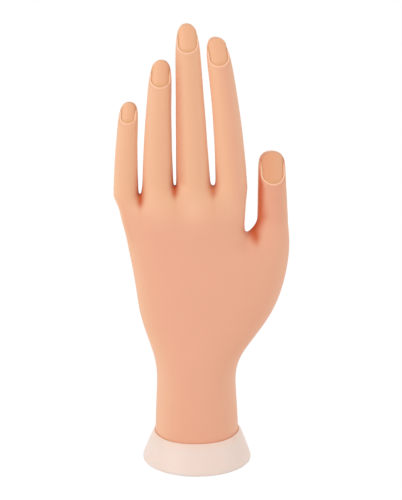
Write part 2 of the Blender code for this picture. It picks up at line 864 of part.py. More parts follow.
def make_channel(digit, group):
    """Cutter for the passage that the keel takes through the palm's stub and along the digit."""
    low = ray_point(digit, digit.root.z - CHANNEL_DROP)
    wide, deep = bone_half_width() + CHANNEL_GAP, BONE_HALF_DEPTH + CHANNEL_GAP
    rings = [rectangle(low, RAY_HALF_WIDTH + CHANNEL_GAP, RAY_HALF_DEPTH + CHANNEL_GAP)]
    for height, _ in digit.joints:
        hinge = digit.centre(height)
        rise = Vector((0, 0, digit.shoulder))
        rings += [rectangle(hinge - rise, wide, deep), rectangle(hinge + rise, wide, deep)]
    end = digit.centre(digit.length - BONE_TIP_COVER) + Vector((0, BONE_TIP_OFFSET, CHANNEL_GAP))
    rings.append(rectangle(end, BONE_TIP_HALF_WIDTH + CHANNEL_GAP, BONE_TIP_HALF_DEPTH + CHANNEL_GAP))
    return as_cutter(add_object(f"{digit.name}_channel", loft_mesh("channel", rings), group))


def palm_reach(shares):
    """Left and right reach and back and palm depth of one row of palm shares."""
    _, left, right, back, palm = shares
    return (
        mix(WRIST_HALF_WIDTH, -ROW_LEFT, left), mix(WRIST_HALF_WIDTH, THUMB_REACH, right),
        WRIST_HALF_DEPTH * back, WRIST_HALF_DEPTH * palm,
    )


def inset_ring(shares, inset, count):
    """Palm section at one row of shares, drawn in by an inset."""
    left, right, back, palm = palm_reach(shares)
    return oval_ring(inset - left, right - inset, back - inset, palm - inset, palm_height(shares[0]), count)


def make_hollow(group):
    """Cutter for the space inside the palm and wrist skin."""
    rows = [row for row in LOWER_PALM_SHARES if row[0] < HOLLOW_TOP_START_SHARE]
    rings = [inset_ring(row, PALM_SKIN_WALL, HOLLOW_POINTS) for row in rows + list(HOLLOW_TOP_SHARES)]
    return as_cutter(add_object("palm_hollow", loft_mesh("hollow", rings), group))


def wrist_row(height):
    """Row of palm shares at a height above the base, between two rows of the table."""
    share = height / THUMB_WEB_HEIGHT
    for low, high in zip(LOWER_PALM_SHARES, LOWER_PALM_SHARES[1:]):
        if low[0] <= share <= high[0]:
            t = (share - low[0]) / (high[0] - low[0])
            return tuple(mix(a, b, t) for a, b in zip(low, high))
    return LOWER_PALM_SHARES[-1]


def make_palm_frame(digits, group):
    """Keel of the palm: a socketed hub and wrist plate, five rays that end in forks, and a bridge."""
    bore = POST_RADIUS + FIT_GAP
    hub = turned(
        "palm_frame",
        ((0, HUB_TOP), (HUB_RADIUS, HUB_TOP), (HUB_RADIUS, HUB_BOTTOM), (bore, HUB_BOTTOM),
         (bore, SOCKET_TOP), (0, SOCKET_TOP)),
        group, HUB_POINTS,
    )
    inset = PALM_SKIN_WALL + FIT_GAP
    plate_rows = [wrist_row(HUB_BOTTOM), wrist_row(HUB_BOTTOM + WRIST_PLATE_THICKNESS)]
    plate = add_object(
        "plate", loft_mesh("plate", [inset_ring(row, inset, HOLLOW_POINTS) for row in plate_rows]), group
    )
    low, high = HUB_BOTTOM - CUT_OVERRUN, HUB_BOTTOM + WRIST_PLATE_THICKNESS + CUT_OVERRUN
    edge = min(palm_reach(plate_rows[0])[:2]) - inset
    half = (edge - HUB_RADIUS) * PLATE_OPENING_SHARE / 2
    reach = half * PLATE_OPENING_DEPTH_SHARE
    for side in (-1, 1):
        x = side * (edge + HUB_RADIUS) / 2
        left, right = x - half, x + half
        rings = [oval_ring(left, right, reach, reach, z, HOLLOW_POINTS) for z in (low, high)]
        combine(plate, add_object("opening", loft_mesh("opening", rings), group), "DIFFERENCE")
    middle = (bore + HUB_RADIUS) / 2
    core = turned(
        "core", ((0, high), (middle, high), (middle, low), (0, low)), group, HUB_POINTS
    )
    combine(plate, core, "DIFFERENCE")
    combine(hub, plate, "UNION")
    for digit in digits:
        foot, top = ray_ends(digit)
        hinge = digit.centre(digit.joints[0][0])
        rings = [rectangle(foot, RAY_HALF_WIDTH, RAY_HALF_DEPTH)]
        rings += hinge_block(digit, hinge)[:2] + round_end(hinge, True)
        ray = add_object("ray", loft_mesh("ray", rings), group)
        cut_fork(ray, digit, hinge, group)
        combine(hub, ray, "UNION")
    height = FINGER_WEB_HEIGHT - BRIDGE_DROP
    half = Vector((0, BRIDGE_HALF, BRIDGE_HALF))
    bridge = box("bridge", ray_point(digits[0], height) - half, ray_point(digits[3], height) + half, group)
    combine(hub, bridge, "UNION")
    move_origin(hub, Vector((0, 0, HUB_BOTTOM)))
    dress(hub, KEEL)
    return hub


# Nails


@dataclass(frozen=True)
class NailSeat:
    """Place of a nail on its fingertip: its cuticle's middle, and directions along, across and out."""

    start: Vector
    along: Vector
    across: Vector
    out: Vector


def nail_seat(digit):
    """Seat of a digit's nail, square to the back of the fingertip and pitched to its tip."""
    height = digit.length - digit.nail_length
    along = digit.direction(height)
    across = (Vector((1, 0, 0)) - along * along.x).normalized()
    along = Matrix.Rotation(-NAIL_PITCH, 3, across) @ along
    out = across.cross(along) * -1
    if out.y > 0:
        out = -out
    start = digit.centre(height) + out * (digit.half_depth(height) - NAIL_SINK)
    return NailSeat(start, along, across, out)


def nail_sheet(digit, name, margin, along, tip_round, low, high, group):
    """Arched sheet on the nail's seat, between two places along it and from low to high outwards."""
    start, stop = along
    seat = nail_seat(digit)
    half = digit.nail_width / 2
    radius = digit.nail_width * NAIL_ARCH_SHARE
    bm = bmesh.new()
    bmesh.ops.create_grid(bm, x_segments=NAIL_COLUMNS, y_segments=NAIL_ROWS, size=1)
    for vert in bm.verts:
        v, t = vert.co.x, (vert.co.y + 1) / 2
        fall = 1 - math.sqrt(1 - NAIL_ROUND_SHARE * v * v)
        root = start + digit.nail_width * NAIL_ROOT_ROUND_SHARE * fall
        tip = stop - digit.nail_width * tip_round * fall
        x = v * (half + margin)
        sag = radius - math.sqrt(radius * radius - min(x * x, half * half))
        place = seat.start + seat.along * mix(root, tip, t) + seat.across * x + seat.out * (low - sag)
        vert.co = place
    out = bmesh.ops.extrude_face_region(bm, geom=bm.faces[:])
    moved = [item for item in out["geom"] if isinstance(item, bmesh.types.BMVert)]
    bmesh.ops.translate(bm, verts=moved, vec=seat.out * (high - low))
    return add_object(name, mesh_from(bm, name), group)


def make_nail(digit, group):
    """Slide-in nail with its root tucked under the cuticle fold."""
    name = f"{digit.name}_nail"
    nail = nail_sheet(
        digit, name, 0, (-NAIL_TUCK, digit.nail_length), NAIL_TIP_ROUND_SHARE, -NAIL_THICKNESS, 0, group
    )
    move_origin(nail, nail_seat(digit).start)
    dress(nail, NAIL)
    return nail


def make_nail_cutters(digit, group):
    """Cutters for the nail's open bed and for the slot under the cuticle fold."""
    bed = nail_sheet(
        digit, f"{digit.name}_nail_bed", NAIL_BED_GAP, (0, digit.nail_length + CUT_OVERRUN * 2), 0,
        -NAIL_THICKNESS - NAIL_BED_GAP, CUT_OVERRUN, group,
    )
    slot = nail_sheet(
        digit, f"{digit.name}_nail_slot", NAIL_GAP, (-NAIL_TUCK - NAIL_GAP, NAIL_TUCK),
        -NAIL_ROOT_ROUND_SHARE, -NAIL_THICKNESS - NAIL_GAP, NAIL_GAP, group,
    )
    return as_cutter(bed), as_cutter(slot)


# Cup


def cup_ring(height, grow, share, count=CUP_POINTS):
    """Ring of the cup: a circle of the foot's radius at share 0 and the rim's oval at share 1."""
    wide = WRIST_HALF_WIDTH + FIT_GAP + grow
    deep = WRIST_HALF_DEPTH + FIT_GAP + grow
    oval = oval_ring(-wide, wide, deep, deep, height, count)
    foot = CUP_FOOT_RADIUS
    circle = oval_ring(-foot, foot, foot, foot, height, count, CIRCLE_POWER)
    return [Vector(a).lerp(Vector(b), share) for a, b in zip(circle, oval)]


def shrink_ring(ring, amount):
    """Ring drawn in towards the axis."""
    shares = [1 - amount / math.hypot(p.x, p.y) for p in ring]
    return [Vector((p.x * share, p.y * share, p.z)) for p, share in zip(ring, shares)]


def make_cup(group):
    """Flared cup from a round foot to an oval rim, with the post that carries the hand's hub."""
    rim_round = CUP_WALL / 2
    rings = [
        shrink_ring(cup_ring(0, CUP_WALL, 0), CUP_FOOT_EDGE),
        cup_ring(CUP_FOOT_EDGE, CUP_WALL, 0),
        cup_ring(CUP_STRAIGHT, CUP_WALL, CUP_STRAIGHT_SHARE),
        cup_ring(CUP_HEIGHT - rim_round, CUP_WALL, 1),
        cup_ring(CUP_HEIGHT, rim_round, 1),
        cup_ring(CUP_HEIGHT - rim_round, 0, 1),
        cup_ring(CUP_FLOOR, 0, 1),
    ]
    cup = add_object("cup_base", loft_mesh("cup_base", rings), group)
    top = HUB_BOTTOM + POST_ENTRY
    sunk = CUP_FLOOR / 2
    post = turned(
        "post",
        ((0, top), (POST_RADIUS - POST_TOP_CHAMFER, top), (POST_RADIUS, top - POST_TOP_CHAMFER),
         (POST_RADIUS, CUP_FLOOR + POST_FLARE), (POST_RADIUS + POST_FLARE, CUP_FLOOR),
         (POST_RADIUS + POST_FLARE, sunk), (0, sunk)),
        group, HUB_POINTS,
    )
    combine(cup, post, "UNION")
    dress(cup, CUP)
    return cup


# Assembly


def add_pivot(name, point, group, parent=None):
    """Empty on a joint's axis that carries a moving body."""
    pivot = bpy.data.objects.new(name, None)
    group.objects.link(pivot)
    pivot.location = point
    pivot.empty_display_size = CUP_WALL
    if parent:
        attach(pivot, parent)
    return pivot


def attach(item, parent):
    """Parent an object without moving it."""
    item.parent = parent
    bpy.context.view_layer.update()
    item.matrix_parent_inverse = parent.matrix_world.inverted()


def build_digit(digit, form_mesh, group, cutters, carrier):
    """Skin, bones, pins and nail of one digit, each on its own pivot."""
    channel = make_channel(digit, cutters)
    bed, slot = make_nail_cutters(digit, cutters)
    segments, joints = PIECE_NAMES[len(digit.joints)]
    inset = FIT_GAP / 2
    for index, (height, half) in enumerate(digit.joints):
        hinge = digit.centre(height)
        pivot = add_pivot(f"{digit.name}_{joints[index]}_pivot", hinge, group, carrier)
        fold = digit_slice(
            form_mesh, digit, f"{digit.name}_{joints[index]}_skin",
            height - half + inset, height + half - inset, group, hinge,
        )
        last = index == len(digit.joints) - 1
        if last:
            above = None
            name = f"{digit.name}_fingertip"
        else:
            next_height, next_half = digit.joints[index + 1]
            above = next_height - next_half - inset
            name = f"{digit.name}_{segments[index]}_skin"
        sleeve = digit_slice(form_mesh, digit, name, height + half + inset, above, group, hinge)
        for skin in (fold, sleeve):
            cut_with(skin, channel)
            attach(skin, pivot)
        bone = make_bone(digit, index, f"{digit.name}_{segments[index]}_bone", group)
        attach(bone, pivot)
        if not last:
            pin = cross_rod(
                f"{digit.name}_{joints[index]}_pin", hinge, PIN_RADIUS, 2 * bone_half_width(), group, STEEL
            )
            attach(pin, carrier)
        carrier = pivot
    cut_with(sleeve, bed)
    cut_with(sleeve, slot)
    nail = make_nail(digit, group)
    attach(nail, carrier)
    return channel


def main():
    """Build the whole practice hand."""
    clear_scene()
    group = new_collection("nail_practice_hand")
    cutters = new_collection("cutters")
    digits = make_digits()
    form_mesh = evaluated_mesh(make_skin_form(digits, cutters))
    make_cup(group)
    hand = add_pivot("hand_lift", Vector((0, 0, CUP_FLOOR)), group)
    palm = palm_slice(form_mesh, digits, group)
    cut_with(palm, make_hollow(cutters))
    attach(palm, hand)
    attach(make_palm_frame(digits, group), hand)
    for digit in digits:
        cut_with(palm, build_digit(digit, form_mesh, group, cutters, hand))
    bpy.data.meshes.remove(form_mesh)


if __name__ == "__main__":
    main()
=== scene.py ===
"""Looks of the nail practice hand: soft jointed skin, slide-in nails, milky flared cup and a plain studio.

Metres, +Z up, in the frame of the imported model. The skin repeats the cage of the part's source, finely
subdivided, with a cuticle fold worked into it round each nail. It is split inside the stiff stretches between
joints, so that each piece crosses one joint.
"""

import logging
import math
from dataclasses import dataclass, field
from enum import Enum

import bmesh
import bpy
import numpy as np
from mathutils import Matrix, Vector

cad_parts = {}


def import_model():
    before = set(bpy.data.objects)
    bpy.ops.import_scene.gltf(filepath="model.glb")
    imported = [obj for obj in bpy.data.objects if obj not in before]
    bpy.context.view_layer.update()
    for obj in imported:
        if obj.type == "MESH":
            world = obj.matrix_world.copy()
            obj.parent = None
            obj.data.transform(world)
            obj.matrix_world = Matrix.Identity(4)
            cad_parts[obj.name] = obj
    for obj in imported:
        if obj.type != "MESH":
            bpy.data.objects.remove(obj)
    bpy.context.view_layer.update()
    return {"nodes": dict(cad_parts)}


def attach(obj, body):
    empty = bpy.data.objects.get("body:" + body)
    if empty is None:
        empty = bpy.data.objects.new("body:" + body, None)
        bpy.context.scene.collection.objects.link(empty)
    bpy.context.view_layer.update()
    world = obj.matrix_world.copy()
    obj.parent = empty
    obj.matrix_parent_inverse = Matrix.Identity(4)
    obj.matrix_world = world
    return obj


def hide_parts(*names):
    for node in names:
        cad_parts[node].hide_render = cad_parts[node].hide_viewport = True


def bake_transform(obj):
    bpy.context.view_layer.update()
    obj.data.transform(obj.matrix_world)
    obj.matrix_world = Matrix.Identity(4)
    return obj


LOG = logging.getLogger("nail_practice_hand")

Number = float | np.ndarray
Colour = tuple[float, float, float, float]
Column = tuple[float, ...]


class Slot(Enum):
    """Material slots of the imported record."""

    SKIN = "skin"
    NAIL = "nail"
    CUP = "cup_plastic"
    KEEL = "keel_plastic"
    PIN = "pin_steel"


def mix(a: Number, b: Number, t: Number) -> Number:
    """Value between a and b."""
    return a + (b - a) * t


def smooth_step(t: np.ndarray) -> np.ndarray:
    """Soft step from 0 to 1 as t goes from 0 to 1."""
    t = np.clip(t, 0, 1)
    return t * t * (3 - 2 * t)


def step_from(value: np.ndarray, start: float, width: float) -> np.ndarray:
    """Soft step from 0 to 1 over a width that begins at a start."""
    return smooth_step((value - start) / width)


def bump_of(distance: np.ndarray, width: float) -> np.ndarray:
    """Bell of height 1 at distance 0."""
    return np.exp(-((distance / width) ** 2))


def round_off(share: np.ndarray, roundness: float) -> np.ndarray:
    """How far a rounded end has fallen back at a share of the half width, 1 at the sides if fully round."""
    return 1 - np.sqrt(1 - roundness * share * share)


# Mesh helpers


def read(
    items: bpy.types.bpy_prop_collection, name: str, width: int = 1, kind: type = np.float64
) -> np.ndarray:
    """Read one property of a mesh's vertices, faces or normals.

    Args:
        items: the collection.
        name: the property.
        width: how many numbers it holds.
        kind: type of the numbers.

    Returns:
        One number for each item, or one row of numbers if the width is more than 1.
    """
    found = np.zeros(len(items) * width, dtype=kind)
    items.foreach_get(name, found)
    return found.reshape(-1, width) if width > 1 else found


def store(mesh: bpy.types.Mesh, name: str, values: np.ndarray) -> None:
    """Keep a number for each vertex, for the materials to read."""
    held = mesh.attributes.new(name, "FLOAT", "POINT")
    held.data.foreach_set("value", np.asarray(values, dtype=np.float32))


def bridge(bm: bmesh.types.BMesh, lower: list, upper: list, mark: int = 0) -> None:
    """Put quads between two closed rings of equal length.

    Args:
        bm: the shape.
        lower: vertices of one ring.
        upper: vertices of the other ring.
        mark: digit mark of the quads, kept as their material number.
    """
    for k, vert in enumerate(lower):
        n = (k + 1) % len(lower)
        bm.faces.new((vert, lower[n], upper[n], upper[k])).material_index = mark


def mesh_of(bm: bmesh.types.BMesh, name: str, closed: bool = True) -> bpy.types.Mesh:
    """Turn a shape into a mesh.

    Args:
        bm: the shape, which is freed.
        name: name of the mesh.
        closed: whether it is a shell, whose faces are turned outwards.

    Returns:
        The mesh.
    """
    if closed:
        bmesh.ops.recalc_face_normals(bm, faces=bm.faces)
    mesh = bpy.data.meshes.new(name)
    bm.to_mesh(mesh)
    bm.free()
    return mesh


def make_object(mesh: bpy.types.Mesh, finish: bpy.types.Material) -> bpy.types.Object:
    """Put a mesh in the scene with its finish.

    Args:
        mesh: the mesh.
        finish: its material.

    Returns:
        The object.
    """
    mesh.materials.clear()
    mesh.materials.append(finish)
    item = bpy.data.objects.new(mesh.name, mesh)
    bpy.context.scene.collection.objects.link(item)
    LOG.info("made %s with %d faces", item.name, len(mesh.polygons))
    return item


# Shader tools


class Value:
    """A number socket that can be used in sums, with the recipe that owns it."""

    def __init__(self, recipe: "Recipe", socket: bpy.types.NodeSocket) -> None:
        """Keep the socket and its recipe."""
        self.recipe = recipe
        self.socket = socket

    def __add__(self, other: "Value | float") -> "Value":
        """Sum of two values."""
        return self.recipe.maths("ADD", self, other)

    def __radd__(self, other: float) -> "Value":
        """Sum with a number on the left."""
        return self.recipe.maths("ADD", other, self)

    def __sub__(self, other: "Value | float") -> "Value":
        """Difference of two values."""
        return self.recipe.maths("SUBTRACT", self, other)

    def __rsub__(self, other: float) -> "Value":
        """Difference with a number on the left."""
        return self.recipe.maths("SUBTRACT", other, self)

    def __mul__(self, other: "Value | float") -> "Value":
        """Product of two values."""
        return self.recipe.maths("MULTIPLY", self, other)

    def __rmul__(self, other: float) -> "Value":
        """Product with a number on the left."""
        return self.recipe.maths("MULTIPLY", other, self)

    def held(self) -> "Value":
        """Value kept between 0 and 1."""
        return self.recipe.maths("ADD", self, 0.0, clamp=True)


class Recipe:
    """The node tree of a material or the world, with the few calls that the finishes and the studio use."""

    def __init__(self, name: str, world: bpy.types.World | None = None) -> None:
        """Start the tree.

        Args:
            name: name of the new material.
            world: the world, which takes the place of a new material.
        """
        self.holder = world or bpy.data.materials.new(name)
        self.holder.use_nodes = True
        self.tree = self.holder.node_tree
        self.shader = self.tree.nodes.get("Principled BSDF")

    def node(self, kind: str, settings: dict | None = None, sockets: dict | None = None) -> bpy.types.Node:
        """Add a node.

        Args:
            kind: the node's type.
            settings: its properties, set first.
            sockets: values or links of its inputs, by name or number.

        Returns:
            The node.
        """
        made = self.tree.nodes.new(kind)
        for name, value in (settings or {}).items():
            setattr(made, name, value)
        for name, value in (sockets or {}).items():
            self.feed(made.inputs[name], value)
        return made

    def feed(self, socket: bpy.types.NodeSocket, value: object) -> None:
        """Set a socket's value or link it.

        Args:
            socket: the input to fill.
            value: a number, colour, vector, socket or Value.
        """
        if isinstance(value, Value):
            value = value.socket
        if isinstance(value, bpy.types.NodeSocket):
            self.tree.links.new(value, socket)
        else:
            socket.default_value = value

    def maths(self, operation: str, a: object, b: object, clamp: bool = False) -> Value:
        """Value of a Math node."""
        made = self.node("ShaderNodeMath", {"operation": operation, "use_clamp": clamp}, {0: a, 1: b})
        return Value(self, made.outputs[0])

    def layered(self, base: Colour, *layers: tuple[Value, Colour]) -> bpy.types.NodeSocket:
        """Lay colours over a base.

        Args:
            base: the base colour.
            layers: pairs of a share, held between 0 and 1, and the colour laid on by it.

        Returns:
            The socket of the mixed colour.
        """
        tone = base
        for share, colour in layers:
            made = self.node("ShaderNodeMix", {"data_type": "RGBA"}, {0: share.held(), 6: tone, 7: colour})
            tone = made.outputs[2]
        return tone

    def mixed_shader(self, share: Value, a: object, b: object) -> bpy.types.NodeSocket:
        """Shader between two, 0 for the first and 1 for the second."""
        return self.node("ShaderNodeMixShader", {}, {0: share, 1: a, 2: b}).outputs[0]

    def attribute(self, name: str) -> Value:
        """Number stored on the mesh's points."""
        return Value(self, self.node("ShaderNodeAttribute", {"attribute_name": name}).outputs["Fac"])

    def place(self) -> bpy.types.NodeSocket:
        """Place on the object, in its own space."""
        return self.node("ShaderNodeTexCoord").outputs["Object"]

    def noise(self, size: float, detail: float = 2.0, place: bpy.types.NodeSocket | None = None) -> Value:
        """Noise centred on 0.

        Args:
            size: length of one patch in metres.
            detail: octaves.
            place: where it is read, the place on the object if none is given.

        Returns:
            A value between about -0.5 and 0.5.
        """
        sockets = {"Vector": place or self.place(), "Scale": 1 / size, "Detail": detail}
        return Value(self, self.node("ShaderNodeTexNoise", {}, sockets).outputs["Fac"]) - 0.5

    def bump(self, height: Value, distance: float, strength: float) -> None:
        """Send a height to the shader's Normal through a Bump node.

        Args:
            height: the height field.
            distance: height of one unit in metres.
            strength: share of the effect.
        """
        made = self.node("ShaderNodeBump", {}, {"Height": height, "Distance": distance, "Strength": strength})
        self.feed(self.shader.inputs["Normal"], made.outputs["Normal"])

    def paint(self, **sockets: object) -> bpy.types.Material:
        """Fill the shader's sockets and hand back the material.

        Args:
            sockets: values or links by socket name, with _ for a space.

        Returns:
            The finished material.
        """
        for name, value in sockets.items():
            self.feed(self.shader.inputs[name.replace("_", " ")], value)
        return self.holder


@dataclass(frozen=True)
class VinylSkin:
    """Soft satin vinyl in a skin tone, with painted warm shade in crevices and painted pale highlights on
    knuckles.
    """

    base: Colour = (0.82, 0.405, 0.255, 1)
    cool: Colour = (0.80, 0.385, 0.25, 1)
    # Yellower finger tone; also painted light on the palm's left side, taken off right of the index as
    # painted shade.
    finger: Colour = (0.83, 0.445, 0.262, 1)
    # Light colour of the painted glow on the skin's sides, which lightens them against the shade between
    # digits.
    painted_side_glow: Colour = (0.90, 0.56, 0.37, 1)
    # Dark warm orange of the painted shade in the crevices, under the webs and along the thumb.
    painted_crevice_shade: Colour = (0.59, 0.105, 0.027, 1)
    # Pale colour of the painted highlights over the knuckles.
    pale: Colour = (0.92, 0.53, 0.35, 1)
    # Light peach of the painted highlight on the raised lip round each nail.
    lip: Colour = (0.96, 0.575, 0.385, 1)
    roughness: float = 0.47
    crevice_dulling: float = 0.45
    cloud_size: float = 0.024
    grain_size: float = 0.0005
    wave_size: float = 0.0030

    def make(self) -> bpy.types.Material:
        """Mix the cloudy tone with the finger tone, painted light and shade, fine grain and slightly uneven
        gloss.

        Returns:
            The material.
        """
        recipe = Recipe("vinyl_skin")
        cloud = recipe.noise(self.cloud_size, detail=3.0)
        painted_crevice_shade = recipe.attribute("painted_crevice_shade")
        # Layers: cloud, finger tone, then painted glow, painted highlights, painted crevice shade and painted
        # lip highlights.
        tone = recipe.layered(
            self.base,
            (cloud * 1.6 + 0.5, self.cool),
            (recipe.attribute("finger") + cloud * 0.3, self.finger),
            (recipe.attribute("painted_side_glow") * 0.55, self.painted_side_glow),
            (recipe.attribute("pale") * 0.5, self.pale),
            (painted_crevice_shade, self.painted_crevice_shade),
            (recipe.attribute("lip"), self.lip),
        )
        grain = recipe.noise(self.grain_size)
        recipe.bump(grain * 0.25 + recipe.noise(self.wave_size, detail=1.0), distance=0.00008, strength=0.35)
        gloss = cloud * 0.10 + grain * 0.05 + painted_crevice_shade.held() * self.crevice_dulling
        return recipe.paint(Base_Color=tone, Roughness=self.roughness + gloss, Specular_IOR_Level=0.42)


@dataclass(frozen=True)
class NailFinish:
    """Satin nail plate, yellower than the skin: dull ochre painted shade by the cuticle, grey-brown free
    edge.
    """

    base: Colour = (0.85, 0.450, 0.258, 1)
    # Darker colour of the painted shade on the thumb's plate.
    deep: Colour = (0.76, 0.335, 0.175, 1)
    # Dull ochre of the painted shade by the cuticle, where the fold shades the plate.
    cuticle: Colour = (0.735, 0.385, 0.180, 1)
    edge: Colour = (0.62, 0.40, 0.28, 1)
    roughness: float = 0.44
    ridge_share: float = 1 / 9

    def make(self) -> bpy.types.Material:
        """Mix the tone with painted shade on the thumb and by the cuticle, its darker free edge and long
        faint ridges.

        Returns:
            The material.
        """
        recipe = Recipe("nail_plate")
        tone = recipe.layered(
            self.base,
            (recipe.attribute("deep"), self.deep),
            (recipe.attribute("cuticle") * 0.8, self.cuticle),
            (recipe.attribute("free_edge") * 0.8, self.edge),
        )
        across = recipe.node("ShaderNodeCombineXYZ", {}, {0: recipe.attribute("across")}).outputs[0]
        recipe.bump(recipe.noise(self.ridge_share, place=across), distance=0.00006, strength=0.3)
        gloss = recipe.noise(0.006) * 0.12
        return recipe.paint(Base_Color=tone, Roughness=self.roughness + gloss, Specular_IOR_Level=0.32)


@dataclass(frozen=True)
class MilkyCup:
    """Milky pinkish moulded plastic, softly see-into, with a painted warm highlight towards its rim."""

    base: Colour = (0.87, 0.705, 0.633, 1)
    # Pinkish colour of the painted highlight round the rim.
    warm: Colour = (0.96, 0.67, 0.55, 1)
    roughness: float = 0.42
    scatter: float = 0.35

    def make(self) -> bpy.types.Material:
        """Mix the tone with its painted warm highlight at the rim, faint cloud and moulded surface.

        Returns:
            The material.
        """
        recipe = Recipe("milky_cup")
        cloud = recipe.noise(0.010)
        # The rim's share is painted highlight; the cloud adds a random tone to it.
        tone = recipe.layered(self.base, (recipe.attribute("rim") * 0.8 + cloud * 0.25, self.warm))
        recipe.bump(recipe.noise(0.0012), distance=0.00005, strength=0.25)
        recipe.shader.subsurface_method = "RANDOM_WALK"
        return recipe.paint(
            Base_Color=tone, Roughness=self.roughness + cloud * 0.10, Specular_IOR_Level=0.35,
            Subsurface_Weight=self.scatter, Subsurface_Radius=(1.0, 0.7, 0.55), Subsurface_Scale=0.004,
        )


@dataclass(frozen=True)
class KeelPlastic:
    """Plain off-white moulded plastic of the inner keel."""

    base: Colour = (0.78, 0.76, 0.71, 1)
    shade: Colour = (0.70, 0.67, 0.61, 1)
    roughness: float = 0.50

    def make(self) -> bpy.types.Material:
        """Mix the tone with a faint cloud and a moulded grain.

        Returns:
            The material.
        """
        recipe = Recipe("keel_plastic")
        cloud = recipe.noise(0.008, detail=3.0)
        tone = recipe.layered(self.base, (cloud + 0.5, self.shade))
        recipe.bump(recipe.noise(0.0006), distance=0.00008, strength=0.4)
        return recipe.paint(Base_Color=tone, Roughness=self.roughness + cloud * 0.15)


@dataclass(frozen=True)
class PinSteel:
    """Drawn steel wire of the hinge pins."""

    base: Colour = (0.55, 0.56, 0.58, 1)
    shade: Colour = (0.42, 0.43, 0.45, 1)
    roughness: float = 0.28
    mark_size: float = 1 / 9000
    mark_stretch: tuple[float, float, float] = (0.05, 1.0, 1.0)

    def make(self) -> bpy.types.Material:
        """Mix the tone with fine drawing marks along the pin.

        Returns:
            The material.
        """
        recipe = Recipe("pin_steel")
        sockets = {0: recipe.place(), 1: self.mark_stretch}
        place = recipe.node("ShaderNodeVectorMath", {"operation": "MULTIPLY"}, sockets).outputs[0]
        share = recipe.noise(self.mark_size, place=place) + 0.5
        recipe.bump(share, distance=0.00002, strength=0.4)
        tone = recipe.layered(self.base, (share, self.shade))
        return recipe.paint(Base_Color=tone, Metallic=1.0, Roughness=self.roughness + share * 0.15)


# The hand's form


@dataclass(frozen=True)
class Digit:
    """A finger or the thumb: its centreline, taper, joints and nail, in metres and degrees."""

    name: str
    order: int
    root: Vector
    lengths: tuple[float, ...]
    root_width: float
    tip_width: float
    shift: float
    bow: float
    curl: float
    flex: tuple[float, ...]
    cuticle: float
    nail_width: float
    nail_turn: float

    ROOT_DEPTH_SHARE = 0.90
    TIP_DEPTH_SHARE = 0.84
    TAPER_END_SHARE = 0.88
    DIRECTION_STEP_SHARE = 0.02
    RING_MARGIN = 0.0006
    ROOT_SEAT = 0.0022

    @property
    def mark(self) -> int:
        """Mark of the digit's faces in the skin; 0 is the palm."""
        return self.order + 1

    @property
    def length(self) -> float:
        """Length from the root to the tip."""
        return sum(self.lengths)

    @property
    def nail_length(self) -> float:
        """Length of the nail from the cuticle to the tip."""
        return self.lengths[-1] - self.cuticle

    @property
    def left(self) -> float:
        """Place of the root's left side."""
        return self.root.x - self.half_width(0)

    @property
    def right(self) -> float:
        """Place of the root's right side."""
        return self.root.x + self.half_width(0)

    def centre(self, height: float) -> Vector:
        """Find a point of the centreline.

        Args:
            height: its height above the digit's root.

        Returns:
            The point.
        """
        t = height / self.length
        side = self.shift * t + self.bow * 4 * t * (1 - t)
        return self.root + Vector((side, self.curl * t * t, height))

    def direction(self, height: float) -> Vector:
        """Unit vector along the centreline."""
        step = self.length * self.DIRECTION_STEP_SHARE
        return (self.centre(height + step) - self.centre(height - step)).normalized()

    def taper(self, height: float) -> float:
        """How far the width has gone from its root value to its tip value."""
        return min(max(height / self.length / self.TAPER_END_SHARE, 0), 1)

    def half_width(self, height: float) -> float:
        """Half the width at a height, before the ring shares."""
        return mix(self.root_width, self.tip_width, self.taper(height)) / 2

    def half_depth(self, height: float) -> float:
        """Half the thickness from back to palm at a height."""
        share = mix(self.ROOT_DEPTH_SHARE, self.TIP_DEPTH_SHARE, self.taper(height))
        return self.half_width(height) * share

    def bend_half(self, height: float, flex: float) -> float:
        """Half the length of the skin that folds when the joint bends by flex degrees."""
        return self.half_depth(height) * math.tan(math.radians(flex) / 2) + self.RING_MARGIN

    @property
    def joints(self) -> list[tuple[float, float]]:
        """Place the joints along the digit.

        Returns:
            Their heights from the root outwards, each with the half length of its fold.
        """
        first = self.bend_half(self.ROOT_SEAT, self.flex[0])
        heights = [self.ROOT_SEAT + first] + [sum(self.lengths[:k]) for k in range(1, len(self.lengths))]
        return [(height, self.bend_half(height, flex)) for height, flex in zip(heights, self.flex)]

    @property
    def bodies(self) -> list[str]:
        """Bodies along the digit, from the hand outwards."""
        parts = ("proximal", "middle", "tip") if len(self.lengths) == 3 else ("proximal", "tip")
        return ["hand"] + [f"{self.name}_{part}" for part in parts]

    @property
    def skin_nodes(self) -> list[tuple[str, str]]:
        """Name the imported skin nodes.

        Returns:
            For each joint, the node of its fold and of the sleeve beyond it.
        """
        folds = ("knuckle", "middle_joint", "tip_joint")
        if len(self.lengths) < len(folds):
            folds = ("knuckle", "tip_joint")
        sleeves = [f"{body}_skin" for body in self.bodies[1:-1]] + [f"{self.name}_fingertip"]
        return [(f"{self.name}_{fold}_skin", sleeve) for fold, sleeve in zip(folds, sleeves)]


